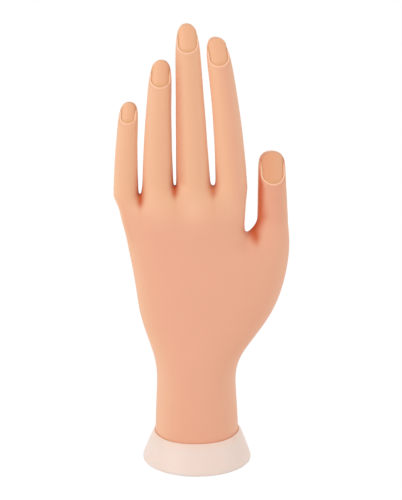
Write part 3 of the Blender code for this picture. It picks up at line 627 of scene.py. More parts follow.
@dataclass(frozen=True)
class HandForm:
    """Sizes of the wrist, palm and finger row, as in the part's source."""

    wrist_half_width: float = 0.0217
    wrist_half_depth: float = 0.0186
    wrist_length: float = 0.0360
    wall: float = 0.0026
    skin_foot: float = 0.0048
    finger_web: float = 0.1440
    little_web_drop: float = 0.0048
    thumb_web_drop: float = 0.0235
    web_round: float = 0.0016
    thumb_web_round: float = 0.0045
    thumb_swell: float = 0.0005
    thumb_forward: float = 0.0020
    row_left: float = -0.0419
    gaps: tuple[float, ...] = (0.0015, 0.0009, 0.0021, 0.0047)
    web_depth: float = 0.50
    thumb_web_depth: float = 0.66
    thumb_web_palm: float = 0.693
    thumb_web_reach: float = 1.40
    thumb_web_dip: float = 0.0028
    left_at_thumb_web: float = 0.857
    power: float = 2.25
    ring_points: int = 8
    columns: int = 3
    finger_flex: tuple[float, ...] = (60, 70, 45)
    thumb_flex: tuple[float, ...] = (35, 40)
    # Rings of a digit: share of its length, share of its width, share of its depth.
    digit_rings: tuple[Column, ...] = (
        (0.000, 0.965, 1.00),
        (0.115, 0.99, 1.00),
        (0.252, 0.98, 0.98),
        (0.400, 1.00, 1.01),
        (0.537, 0.99, 0.99),
        (0.674, 1.00, 1.00),
        (0.800, 1.01, 1.00),
        (0.895, 0.97, 0.93),
        (0.963, 0.76, 0.72),
        (1.006, 0.40, 0.38),
    )
    # Rows of the palm: height share, spread to the left and right, and depth share at the back and palm side.
    lower_palm: tuple[Column, ...] = (
        (-0.048, 0.000, 0.000, 1.00, 1.00),
        (0.096, 0.000, 0.000, 1.00, 1.00),
        (0.203, -0.010, -0.020, 0.97, 0.98),
        (0.299, -0.040, -0.055, 0.94, 0.95),
        (0.394, -0.062, -0.080, 0.90, 0.93),
        (0.472, 0.022, 0.048, 0.85, 0.91),
        (0.556, 0.208, 0.364, 0.80, 0.88),
        (0.651, 0.385, 0.680, 0.77, 0.86),
        (0.747, 0.450, 0.858, 0.75, 0.83),
        (0.842, 0.538, 0.960, 0.73, 0.79),
        (0.926, 0.636, 1.008, 0.70, 0.75),
    )
    upper_palm: tuple[Column, ...] = (
        (1.36, 0.905, 0.952, 0.63, 0.68),
        (1.70, 0.930, 0.966, 0.575, 0.62),
    )
    # Rows that close the hollow, in the same order.
    hollow_top: tuple[Column, ...] = (
        (0.914, 0.620, 0.800, 0.70, 0.74),
        (0.980, 0.690, 0.110, 0.66, 0.70),
        (1.295, 0.790, 0.100, 0.61, 0.65),
        (1.540, 0.820, 0.080, 0.53, 0.56),
    )
    hollow_top_start: float = 0.85

    @property
    def half_step(self) -> float:
        """Half the angle between two points of a digit's ring."""
        return math.pi / self.ring_points

    @property
    def swell(self) -> float:
        """Growth of a cage ring that makes up for what the subdivision takes."""
        return 6 / (4 + 2 * math.cos(2 * self.half_step))

    @property
    def thumb_web(self) -> float:
        """Height of the thumb web."""
        return self.finger_web - self.thumb_web_drop

    def palm_height(self, share: float, top: float | None = None) -> float:
        """Turn a height share into a height.

        Args:
            share: 0 at the foot, 1 at the thumb web and 2 at the top.
            top: height of the top, the finger web if none is given.

        Returns:
            The height.
        """
        if share <= 1:
            return share * self.thumb_web
        return mix(self.thumb_web, self.finger_web if top is None else top, share - 1)

    def digits(self) -> tuple[Digit, ...]:
        """Stand the four fingers side by side on the finger row, and the thumb beyond the index.

        Returns:
            The digits from the little finger to the thumb.
        """
        # Name, lengths, root and tip width, shift, bow, curl, cuticle, nail width and nail turn.
        rows = (
            ("little", (0.0182, 0.0126, 0.0157), 0.0130, 0.0096, 0.0020, -0.0006, 0.0050, 0.0050, 0.0073, -5),
            ("ring", (0.0258, 0.0175, 0.0191), 0.0160, 0.0111, 0.0020, -0.0007, 0.0060, 0.0054, 0.0093, 0),
            ("middle", (0.0368, 0.0221, 0.0212), 0.0176, 0.0119, -0.0033, 0.0001, 0.0070, 0.0067, 0.0097, 0),
            ("index", (0.0327, 0.0205, 0.0204), 0.0163, 0.0118, -0.0083, 0.0014, 0.0062, 0.0061, 0.0095, 4),
            ("thumb", (0.0172, 0.0233), 0.0163, 0.0133, -0.0010, 0.0, 0.0030, 0.0069, 0.0112, 9),
        )
        heights = (self.finger_web - self.little_web_drop, *[self.finger_web] * 3, self.thumb_web)
        flexes = (*[self.finger_flex] * 4, self.thumb_flex)
        made = []
        left = self.row_left
        for order, (name, lengths, root, tip, shift, bow, curl, cuticle, nail, turn) in enumerate(rows):
            forward = self.thumb_forward if name == "thumb" else 0
            place = Vector((left + root / 2, forward, heights[order]))
            made.append(Digit(
                name, order, place, lengths, root, tip, shift, bow, curl, flexes[order], cuticle, nail, turn,
            ))
            left += root + (*self.gaps, 0)[order]
        return tuple(made)

    def thumb_reach(self, digits: tuple[Digit, ...]) -> float:
        """How far the palm reaches on the thumb's side."""
        return digits[-1].root.x + digits[-1].root_width / 2 + self.thumb_swell

    def section_depth(self, u: float) -> float:
        """Depth of a palm section at a place across it, as a share of its greatest depth."""
        return max(1 - min(abs(u), 1) ** self.power, 0) ** (1 / self.power)

    def row_reach(self, u: float) -> float:
        """Depth of the finger row at a place across it."""
        return self.wrist_half_depth * max(self.section_depth(u), self.web_depth)


def spread(columns: list[Column]) -> list[float]:
    """Places of columns across their row, from -1 at its left to 1 at its right."""
    left, right = columns[0][0], columns[-1][0]
    return [2 * (column[0] - left) / (right - left) - 1 for column in columns]


class SkinCage:
    """The quad cage of the whole skin, with each face marked by its digit."""

    def __init__(self, form: HandForm) -> None:
        """Keep the form and its digits."""
        self.form = form
        self.digits = form.digits()

    def digit_ring(self, digit: Digit, height: float, width_share: float, depth_share: float) -> list[Vector]:
        """Place eight points round a digit.

        Args:
            digit: the digit.
            height: height above its root.
            width_share: share of its width.
            depth_share: share of its depth.

        Returns:
            The points, from its left over its back, right and palm side.
        """
        form = self.form
        centre = digit.centre(height)
        a = digit.half_width(height) * width_share * form.swell
        b = digit.half_depth(height) * depth_share * form.swell
        angles = [math.pi + form.half_step * (2 * k + 1) for k in range(form.ring_points)]
        return [centre + Vector((a * math.cos(turn), b * math.sin(turn), 0)) for turn in angles]

    def web_row(self) -> list[Column]:
        """Place the columns where the four fingers stand on the palm.

        Returns:
            Columns of x, back depth, palm depth and height.
        """
        form = self.form
        fingers = self.digits[:4]
        columns = []
        for digit, follower in zip(fingers, (*fingers[1:], None)):
            x, _, z = digit.root
            a = digit.half_width(0) * form.swell
            b = digit.half_depth(0) * form.swell
            inner, outer = a * math.sin(form.half_step), a * math.cos(form.half_step)
            shallow, deep = b * form.web_depth, b * math.cos(form.half_step)
            if not columns:
                columns.append((x - outer, shallow, shallow, z))
            edge = (digit.right + follower.left) / 2 if follower else x + outer
            columns += [(x - inner, deep, deep, z), (x + inner, deep, deep, z), (edge, shallow, shallow, z)]
        return columns

    def thumb_row(self, shares: list[float], row_left: float) -> list[Column]:
        """Place the columns of the row at the thumb web, with the thumb's own columns at its end.

        Args:
            shares: places of the finger columns across the finger row, from -1 to 1.
            row_left: left end of the finger row.

        Returns:
            Columns of x, back depth, palm depth and height.
        """
        form = self.form
        thumb = self.digits[-1]
        left = row_left * form.left_at_thumb_web
        right = thumb.left - form.gaps[-1] * form.thumb_web_reach
        web = []
        for u in shares:
            reach = form.row_reach(u)
            x = mix(left, right, (u + 1) / 2)
            web.append((x, reach * form.thumb_web_depth, reach * form.thumb_web_palm, form.thumb_web))
        a = thumb.half_width(0) * form.swell
        b = thumb.half_depth(0) * form.swell
        back, palm = b - form.thumb_forward, b + form.thumb_forward
        web[-1] = (right, back * form.web_depth, palm * form.web_depth, form.thumb_web - form.thumb_web_dip)
        for turn in (-form.half_step, form.half_step, math.pi / 2 - form.half_step):
            x = thumb.root.x + a * math.sin(turn)
            web.append((x, back * math.cos(turn), palm * math.cos(turn), form.thumb_web))
        return web

    def palm_rows(self) -> list[list[Column]]:
        """Place the rows of the palm.

        Returns:
            Rows from below the wrist to the finger webs, each a list of columns.
        """
        form = self.form
        top = self.web_row()
        row_left, row_right = top[0][0], top[-1][0]
        shares = spread(top)
        web = self.thumb_row(shares, row_left)
        web_shares = spread(web)
        even = [-math.cos((k + 0.5) * math.pi / len(web)) for k in range(len(web))]
        reach_right = form.thumb_reach(self.digits)
        rows = []
        for share, left_share, right_share, back_share, palm_share in form.lower_palm:
            height = form.palm_height(share)
            blend = min(max((height - form.wrist_length) / (form.thumb_web - form.wrist_length), 0), 1)
            low = -mix(form.wrist_half_width, -form.row_left, left_share)
            high = mix(form.wrist_half_width, reach_right, right_share)
            row = []
            for even_share, web_share in zip(even, web_shares):
                u = mix(even_share, web_share, blend)
                reach = form.wrist_half_depth * form.section_depth(u)
                shift = form.thumb_forward * blend * max(u, 0)
                x = mix(low, high, (u + 1) / 2)
                row.append((x, back_share * reach - shift, palm_share * reach + shift, height))
            rows.append(row)
        rows.append(web)
        for share, left_share, right_share, back_share, palm_share in form.upper_palm:
            row = []
            for u, column in zip(shares, top):
                reach = form.row_reach(u)
                x = mix(row_left * left_share, row_right * right_share, (u + 1) / 2)
                row.append((x, back_share * reach, palm_share * reach, form.palm_height(share, column[3])))
            rows.append(row)
        rows.append(top)
        return rows

    def build(self, levels: int) -> bpy.types.Mesh:
        """Build the cage and subdivide it.

        Args:
            levels: subdivision levels.

        Returns:
            The smooth mesh; material_index tells the digit of a face, 0 the palm.
        """
        form = self.form
        bm = bmesh.new()

        def ring_of(row: tuple[list, list], first: int, last: int) -> list[bmesh.types.BMVert]:
            """Closed ring over the back columns and back under the palm columns."""
            return row[0][first:last + 1] + list(reversed(row[1][first:last + 1]))

        rows = []
        for columns in self.palm_rows():
            backs = [bm.verts.new((x, -back, z)) for x, back, _, z in columns]
            palms = [bm.verts.new((x, palm, z)) for x, _, palm, z in columns]
            rows.append((backs, palms))
        wide = len(form.lower_palm)
        last = len(rows[0][0]) - 1
        for k, (lower, upper) in enumerate(zip(rows, rows[1:])):
            end = last if k < wide else last - form.columns
            bridge(bm, ring_of(lower, 0, end), ring_of(upper, 0, end))
        bm.faces.new(reversed(ring_of(rows[0], 0, last)))
        for digit in self.digits:
            foot, start = rows[-1], form.web_round
            if digit.name == "thumb":
                foot, start = rows[wide], form.thumb_web_round
            first = form.columns * digit.order
            lower = ring_of(foot, first, first + form.columns)
            for share, width_share, depth_share in form.digit_rings:
                height = mix(start, digit.length, share)
                upper = [bm.verts.new(p) for p in self.digit_ring(digit, height, width_share, depth_share)]
                bridge(bm, lower, upper, digit.mark)
                lower = upper
            for corners in ((0, 1, 2, 3), (7, 0, 3, 4), (6, 7, 4, 5)):
                bm.faces.new([lower[k] for k in corners]).material_index = digit.mark
        cage = mesh_of(bm, "skin_cage")
        holder = bpy.data.objects.new("skin_cage", cage)
        bpy.context.scene.collection.objects.link(holder)
        smooth = holder.modifiers.new("smooth", "SUBSURF")
        smooth.levels = levels
        smooth.render_levels = levels
        graph = bpy.context.evaluated_depsgraph_get()
        result = bpy.data.meshes.new_from_object(holder.evaluated_get(graph))
        bpy.data.objects.remove(holder, do_unlink=True)
        bpy.data.meshes.remove(cage)
        return result


# Nails


@dataclass
class NailSeat:
    """Place of a nail: its cuticle's middle, directions along, across and out, and the shape of its plate."""

    digit: Digit
    pitch: float = math.radians(8)
    sink: float = 0.0010
    thickness: float = 0.0008
    tuck: float = 0.0018
    arch_share: float = 0.72
    root_round: float = 0.50
    tip_round: float = 0.54
    roundness: float = 0.94
    border_inset: float = 0.00025
    border_roundness: float = 0.95
    border_points: int = 121
    border_run: float = 1.5
    start: Vector = field(init=False)
    axes: np.ndarray = field(init=False)

    def __post_init__(self) -> None:
        """Work out the seat's place and directions from the digit."""
        digit = self.digit
        height = digit.length - digit.nail_length
        along = digit.direction(height)
        across = (Vector((1, 0, 0)) - along * along.x).normalized()
        across = Matrix.Rotation(math.radians(digit.nail_turn), 3, along) @ across
        along = Matrix.Rotation(-self.pitch, 3, across) @ along
        out = -across.cross(along)
        if out.y > 0:
            out = -out
        self.start = digit.centre(height) + out * (digit.half_depth(height) - self.sink)
        self.axes = np.array([along, across, out])

    @property
    def half(self) -> float:
        """Half the nail's width."""
        return self.digit.nail_width / 2

    @property
    def edge(self) -> float:
        """Half the width of the visible plate."""
        return self.half - self.border_inset

    def sag(self, x: np.ndarray) -> np.ndarray:
        """How far the arched plate has dropped at a distance x from its middle line."""
        radius = self.digit.nail_width * self.arch_share
        return radius - np.sqrt(radius * radius - np.minimum(x * x, self.half * self.half))

    def to_seat(self, points: np.ndarray) -> np.ndarray:
        """Points in the seat's own directions: along, across, out."""
        return (points - np.array(self.start)) @ self.axes.T

    def from_seat(self, local: np.ndarray) -> np.ndarray:
        """Points in the model's frame from the seat's own directions."""
        return local @ self.axes + np.array(self.start)

    def tip_at(self, share: np.ndarray) -> np.ndarray:
        """Place along the nail of the free edge at a share of the half width."""
        fall = self.digit.nail_width * self.tip_round * round_off(share, self.roundness)
        return self.digit.nail_length - fall

    def cuticle_at(self, x: np.ndarray) -> np.ndarray:
        """Place along the nail of the visible cuticle line at a distance x from the middle."""
        share = np.clip(np.abs(x) / self.edge, 0, 1)
        return self.digit.nail_width * self.root_round * round_off(share, self.border_roundness)

    def border(self) -> np.ndarray:
        """Trace the visible border.

        Returns:
            Points up one side, round the cuticle and down the other side.
        """
        count = self.border_points
        x = self.edge * np.sin(np.linspace(-math.pi / 2, math.pi / 2, count))
        curve = np.stack([self.cuticle_at(x), x], axis=1)
        rise = np.linspace(self.digit.nail_length * self.border_run, curve[0, 0], count, endpoint=False)
        left = np.stack([rise, np.full(count, -self.edge)], axis=1)
        right = np.stack([rise[::-1], np.full(count, self.edge)], axis=1)
        return np.concatenate([left, curve, right])

    def distance(self, local: np.ndarray) -> tuple[np.ndarray, np.ndarray]:
        """Measure from the visible border.

        Args:
            local: points in the seat's directions.

        Returns:
            The signed distances, negative on the plate, and for each point the nearest point of the border.
        """
        line = self.border()
        flat = local[:, :2]
        best = np.full(len(local), 1e9)
        nearest = np.zeros((len(local), 2))
        for p, q in zip(line[:-1], line[1:]):
            d = q - p
            t = np.clip(((flat - p) @ d) / (d @ d), 0, 1)
            foot = p + t[:, None] * d
            gap = np.hypot(*(flat - foot).T)
            closer = gap < best
            best[closer] = gap[closer]
            nearest[closer] = foot[closer]
        inside = (np.abs(local[:, 1]) < self.edge) & (local[:, 0] > self.cuticle_at(local[:, 1]))
        return np.where(inside, -best, best), nearest


@dataclass
class NailPlate:
    """One slide-in nail plate with a rounded free edge and an arched section."""

    seat: NailSeat
    finish: bpy.types.Material
    rows: int = 30
    columns: int = 22
    edge_round: float = 0.00035
    end_thickness: float = 0.00050
    thins_from: float = 0.55
    tip_taper: float = 0.05
    tapers_from: float = 0.20
    border_offset: float = 0.0001
    painted_border_shade: float = 0.0005
    painted_root_shade: float = 0.0028
    free_edge_tint: float = 0.0007
    # Painted shade on the thumb's plate, at its left and at its right side.
    thumb_nail_shade_across: tuple[float, float] = (1.0, 0.1)

    def outline(self) -> tuple[np.ndarray, np.ndarray, np.ndarray]:
        """Lay out the plate's grid.

        Returns:
            Places along and across the nail, and the distance from its nearest edge.
        """
        seat = self.seat
        length = seat.digit.nail_length
        v = np.sin(np.linspace(-math.pi / 2, math.pi / 2, self.columns + 1))[None, :]
        t = (1 - np.cos(np.linspace(0, math.pi, self.rows + 1)))[:, None] / 2
        root = -seat.tuck + seat.digit.nail_width * seat.root_round * round_off(v, seat.roundness)
        tip = seat.tip_at(v)
        u = mix(root, tip, t)
        taper = smooth_step((u / length - self.tapers_from) / (1 - self.tapers_from))
        x = v * seat.half * (1 - self.tip_taper * taper)
        edge = np.minimum(seat.half * (1 - np.abs(v)) + 0 * u, np.minimum(u - root, tip - u))
        return u, x, np.maximum(edge, 0)

    def shape(self) -> bpy.types.Mesh:
        """Build the plate, whose upper and under side share the points of its edge.

        Returns:
            The mesh.
        """
        seat = self.seat
        u, x, edge = self.outline()
        swell = np.sqrt(1 - (1 - np.clip(edge / self.edge_round, 0, 1)) ** 2)
        far = smooth_step((u / seat.digit.nail_length - self.thins_from) / (1 - self.thins_from))
        thick = mix(seat.thickness, self.end_thickness, far)
        middle = -seat.sag(x) - thick / 2
        bm = bmesh.new()
        sides = []
        for side in (1, -1):
            places = seat.from_seat(np.stack([u, x, middle + side * swell * thick / 2], axis=2))
            grid = []
            for i in range(self.rows + 1):
                row = []
                for j in range(self.columns + 1):
                    shared = sides and (i in (0, self.rows) or j in (0, self.columns))
                    row.append(sides[0][i][j] if shared else bm.verts.new(places[i, j]))
                grid.append(row)
            sides.append(grid)
        for grid in sides:
            for low, high in zip(grid, grid[1:]):
                for j in range(self.columns):
                    bm.faces.new((low[j], low[j + 1], high[j + 1], high[j]))
        mesh = mesh_of(bm, f"{seat.digit.name}_nail_plate")
        mesh.shade_smooth()
        return mesh

    def build(self) -> bpy.types.Object:
        """Make the plate and dress it.

        Returns:
            The plate's object, riding on its own body.
        """
        seat = self.seat
        digit = seat.digit
        mesh = self.shape()
        local = seat.to_seat(read(mesh.vertices, "co", 3))
        signed, _ = seat.distance(local)
        across = local[:, 1] / seat.half
        # Painted shade: a thin dark line inside the visible border and an ochre band at the root, under the
        # fold.
        line = bump_of(np.minimum(signed + self.border_offset, 0), self.painted_border_shade)
        low = smooth_step((self.painted_root_shade - local[:, 0]) / self.painted_root_shade)
        free = smooth_step(1 - (seat.tip_at(np.clip(across, -1, 1)) - local[:, 0]) / self.free_edge_tint)
        store(mesh, "cuticle", np.maximum(line, low))
        # Painted shade on the thumb's plate, strongest on its left side; none on the others.
        store(mesh, "deep", mix(*self.thumb_nail_shade_across, (across + 1) / 2) if digit.name == "thumb" else 0 * across)
        store(mesh, "free_edge", free)
        store(mesh, "across", across)
        item = make_object(mesh, self.finish)
        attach(item, f"{digit.name}_nail")
        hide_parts(f"{digit.name}_nail")
        return item


# Skin


@dataclass(frozen=True)
class SkinTint:
    """Painted warm shade, pale highlights and side glow, and finger tone: numbers from 0 to 1 on the skin's
    points.
    """

    form: HandForm
    digits: tuple[Digit, ...]
    # Painted warm shade under the webs, beside the thumb web, over the thumb and in bands along left sides.
    web_strengths: tuple[float, ...] = (1.0, 1.0, 0.75)
    web_spreads: tuple[float, ...] = (1.22, 1.20, 1.4)
    web_lift: float = 0.0005
    web_widths: tuple[float, float] = (0.0017, 0.0009)
    web_narrowing: float = 0.006
    web_core: float = 0.0046
    web_tail: float = 0.009
    web_tail_share: float = 0.15
    web_rise: float = 0.010
    thumb_lift: float = 0.0020
    thumb_narrowing: float = 0.008
    thumb_low_share: float = 0.35
    thumb_offset: float = 0.0015
    thumb_climb: float = 0.0032
    thumb_climb_length: float = 0.007
    thumb_widths: tuple[float, float] = (0.0044, 0.0033)
    thumb_fall: float = 0.0066
    thumb_rise: float = 0.016
    thumb_painted_shade: float = 0.12
    thumb_painted_shade_length: float = 0.010
    band_strengths: tuple[float, float] = (0.90, 0.40)
    band_edge_fades: tuple[float, float] = (0.40, 0.0)
    band_starts: tuple[float, float] = (0.009, 0.004)
    band_facing: tuple[float, float] = (0.25, 0.55)
    band_edge_facing: tuple[float, float] = (0.86, 0.13)
    band_tip_share: float = 0.4
    # Painted highlights over the knuckles: strength for each finger, drop below its root and size.
    knuckle_highlight_strengths: tuple[float, ...] = (0.0, 0.4, 1.0, 0.4)
    knuckle_highlight_drop: float = 0.0095
    knuckle_highlight_size: tuple[float, float] = (0.0055, 0.0075)
    # Painted glow on the sides that face left and right, weaker low on the palm.
    side_glow_low_share: float = 0.6
    side_glow_facing: tuple[float, float] = (0.35, 0.6)
    side_glow_rise: tuple[float, float] = (-0.004, 0.016)
    # Painted light on the palm's left-facing side, painted shade right of the index's middle.
    painted_side_light_facing: tuple[float, float] = (0.1, 0.7)
    index_painted_shade: float = 0.80
    index_painted_shade_start: float = 0.0025
    index_painted_shade_width: float = 0.007
    painted_side_light_share: float = 0.6

    def painted_web_shade(self, x: np.ndarray, z: np.ndarray) -> np.ndarray:
        """Painted warm shade in a wedge under each web between two fingers.

        Args:
            x: places across.
            z: heights.

        Returns:
            The warmth.
        """
        warm = np.zeros(len(x))
        for digit, follower, strength, wide in zip(
            self.digits[:3], self.digits[1:4], self.web_strengths, self.web_spreads
        ):
            web_x = (digit.right + follower.left) / 2
            web_z = min(digit.root.z, follower.root.z) + self.web_lift
            below = np.clip(web_z - z, 0, None)
            above = np.clip(z - web_z, 0, None)
            width = mix(*self.web_widths, np.clip(below / self.web_narrowing, 0, 1)) * wide
            core = (1 - self.web_tail_share) * np.exp(-((below / self.web_core) ** 4))
            fall = core + self.web_tail_share * bump_of(below, self.web_tail)
            spot = bump_of(x - web_x, width) * bump_of(above, self.web_rise) * fall
            warm = np.maximum(warm, spot * strength)
        return warm

    def painted_thumb_web_shade(self, x: np.ndarray, z: np.ndarray, on_thumb: np.ndarray) -> np.ndarray:
        """Painted warm shade under the thumb web, which climbs along the thumb's side, and over the thumb
        itself.

        Args:
            x: places across.
            z: heights.
            on_thumb: which points are the thumb's.

        Returns:
            The painted shade.
        """
        thumb = self.digits[-1]
        web_z = self.form.thumb_web + self.thumb_lift
        below = np.clip(web_z - z, 0, None)
        above = np.clip(z - web_z, 0, None)
        drop = np.clip(below / self.thumb_narrowing, 0, 1)
        climb = self.thumb_climb * np.clip(above / self.thumb_climb_length, 0, 1)
        sideways = x - thumb.left + self.thumb_offset * (1 - drop) - climb
        width = np.where(sideways < 0, *self.thumb_widths) * mix(1.0, self.thumb_low_share, drop)
        fall = np.exp(-((below / self.thumb_fall) ** 4))
        wedge = bump_of(sideways, width) * fall * bump_of(above, self.thumb_rise)
        rise = smooth_step((z - thumb.root.z) / self.thumb_painted_shade_length)
        return np.maximum(wedge, self.thumb_painted_shade * rise * on_thumb)

    def painted_side_shade_bands(self, z: np.ndarray, normals: np.ndarray, marks: np.ndarray) -> np.ndarray:
        """Painted warm shade in a band along the left side of the thumb and of the middle finger.

        Args:
            z: heights.
            normals: vertex normals.
            marks: digit mark of each vertex.

        Returns:
            The painted shade.
        """
        warm = np.zeros(len(z))
        left = -normals[:, 0]
        for digit, strength, edge_fade, start in zip(
            (self.digits[-1], self.digits[2]), self.band_strengths, self.band_edge_fades, self.band_starts
        ):
            side = step_from(left, *self.band_facing)
            side = side * (1 - edge_fade * step_from(left, *self.band_edge_facing))
            tip = smooth_step((digit.root.z + digit.length - z) / (digit.length * self.band_tip_share))
            root = smooth_step((z - digit.root.z) / start)
            warm = np.maximum(warm, side * tip * root * strength * (marks == digit.mark))
        return warm

    def painted_knuckle_highlights(self, x: np.ndarray, y: np.ndarray, z: np.ndarray) -> np.ndarray:
        """Painted highlight, a pale spot over each finger's knuckle on the back of the hand.

        Args:
            x: places across.
            y: places towards the palm side.
            z: heights.

        Returns:
            The painted highlight.
        """
        pale = np.zeros(len(x))
        wide, high = self.knuckle_highlight_size
        for digit, strength in zip(self.digits[:4], self.knuckle_highlight_strengths):
            gap = np.hypot((x - digit.root.x) / wide, (z - digit.root.z + self.knuckle_highlight_drop) / high)
            pale = np.maximum(pale, strength * bump_of(gap, 1) * (y < 0))
        return pale

    def finger_tone_and_painted_side_light(self, x: np.ndarray, z: np.ndarray, left: np.ndarray, marks: np.ndarray) -> np.ndarray:
        """Fingers' yellower tone, painted shade right of the index's middle, painted light on the palm's left
        side.

        Args:
            x: places across.
            z: heights.
            left: how far each vertex faces left.
            marks: digit mark of each vertex.

        Returns:
            The share of the fingers' tone.
        """
        form = self.form
        index, thumb = self.digits[3:]
        tone = smooth_step((z - form.thumb_web) / (form.finger_web - form.thumb_web)) * (marks != thumb.mark)
        line = index.root.x + index.shift * np.clip((z - index.root.z) / index.length, 0, 1)
        right = smooth_step((x - line + self.index_painted_shade_start) / self.index_painted_shade_width)
        tone = tone * (1 - self.index_painted_shade * right)
        painted_side_light = self.painted_side_light_share * step_from(left, *self.painted_side_light_facing)
        return np.maximum(tone, painted_side_light * (marks == 0))

    def numbers(self, points: np.ndarray, normals: np.ndarray, marks: np.ndarray) -> dict[str, np.ndarray]:
        """Work out the painted light and shade and the finger tone, all but the nails' lip highlights.

        Args:
            points: vertex places.
            normals: vertex normals.
            marks: digit mark of each vertex.

        Returns:
            Arrays by attribute name.
        """
        x, y, z = points.T
        wedge = self.painted_thumb_web_shade(x, z, marks == self.digits[-1].mark)
        # Painted warm shade: the strongest of the web wedges, the thumb web's wedge and the side bands.
        warm = np.maximum(np.maximum(self.painted_web_shade(x, z), wedge), self.painted_side_shade_bands(z, normals, marks))
        # Painted glow on the sides, weaker below the thumb web.
        high = step_from(z - self.form.thumb_web, *self.side_glow_rise)
        painted_side_glow = step_from(np.abs(normals[:, 0]), *self.side_glow_facing) * mix(self.side_glow_low_share, 1.0, high)
        return {
            "painted_crevice_shade": warm, "pale": self.painted_knuckle_highlights(x, y, z), "painted_side_glow": painted_side_glow,
            "finger": self.finger_tone_and_painted_side_light(x, z, -normals[:, 0], marks),
        }


@dataclass
class SkinSheet:
    """The whole fine skin as numbers, from which its pieces are cut."""

    faces: list[tuple[int, ...]]
    marks: np.ndarray
    heights: np.ndarray
    points: np.ndarray
    normals: np.ndarray
    tints: dict[str, np.ndarray]
    biggest_face: int = 12

    def cut(self, chosen: np.ndarray) -> tuple[bmesh.types.BMesh, list[int]]:
        """Start a piece from some of the faces.

        Args:
            chosen: which faces belong to the piece.

        Returns:
            The piece, and for each of its vertices the number in the sheet.
        """
        faces = [self.faces[n] for n in np.nonzero(chosen)[0]]
        used = sorted({vertex for face in faces for vertex in face})
        bm = bmesh.new()
        verts = {vertex: bm.verts.new(self.points[vertex]) for vertex in used}
        for face in faces:
            bm.faces.new([verts[vertex] for vertex in face])
        return bm, used

    def dress(
        self, bm: bmesh.types.BMesh, outer: list[int], name: str, finish: bpy.types.Material
    ) -> bpy.types.Object:
        """Turn a closed piece into an object that shades as the whole skin does.

        Args:
            bm: the piece, with its outer vertices first.
            outer: numbers of its outer vertices in the sheet.
            name: name of the object.
            finish: its material.

        Returns:
            The object.
        """
        count = len(outer)
        bm.verts.index_update()
        outside = []
        for face in bm.faces:
            face.smooth = True
            on_skin = all(vert.index < count for vert in face.verts)
            outside.append(on_skin and len(face.verts) < self.biggest_face)
        mesh = mesh_of(bm, name)
        own = self.normals[outer]
        loops = []
        for polygon, is_skin in zip(mesh.polygons, outside):
            for vertex in polygon.vertices:
                loops.append(own[vertex] if is_skin else tuple(polygon.normal))
        mesh.normals_split_custom_set(loops)
        for key, values in self.tints.items():
            full = np.zeros(len(mesh.vertices))
            full[:count] = values[outer]
            store(mesh, key, full)
        return make_object(mesh, finish)


def digit_marks(mesh: bpy.types.Mesh) -> tuple[np.ndarray, np.ndarray]:
    """Read which digit the skin belongs to.

    Args:
        mesh: the whole skin.

    Returns:
        The mark of each face and of each vertex.
    """
    faces = read(mesh.polygons, "material_index", kind=np.int32)
    verts = np.zeros(len(mesh.vertices), dtype=np.int32)
    for polygon, mark in zip(mesh.polygons, faces):
        for vertex in polygon.vertices:
            verts[vertex] = max(verts[vertex], mark)
    return faces, verts


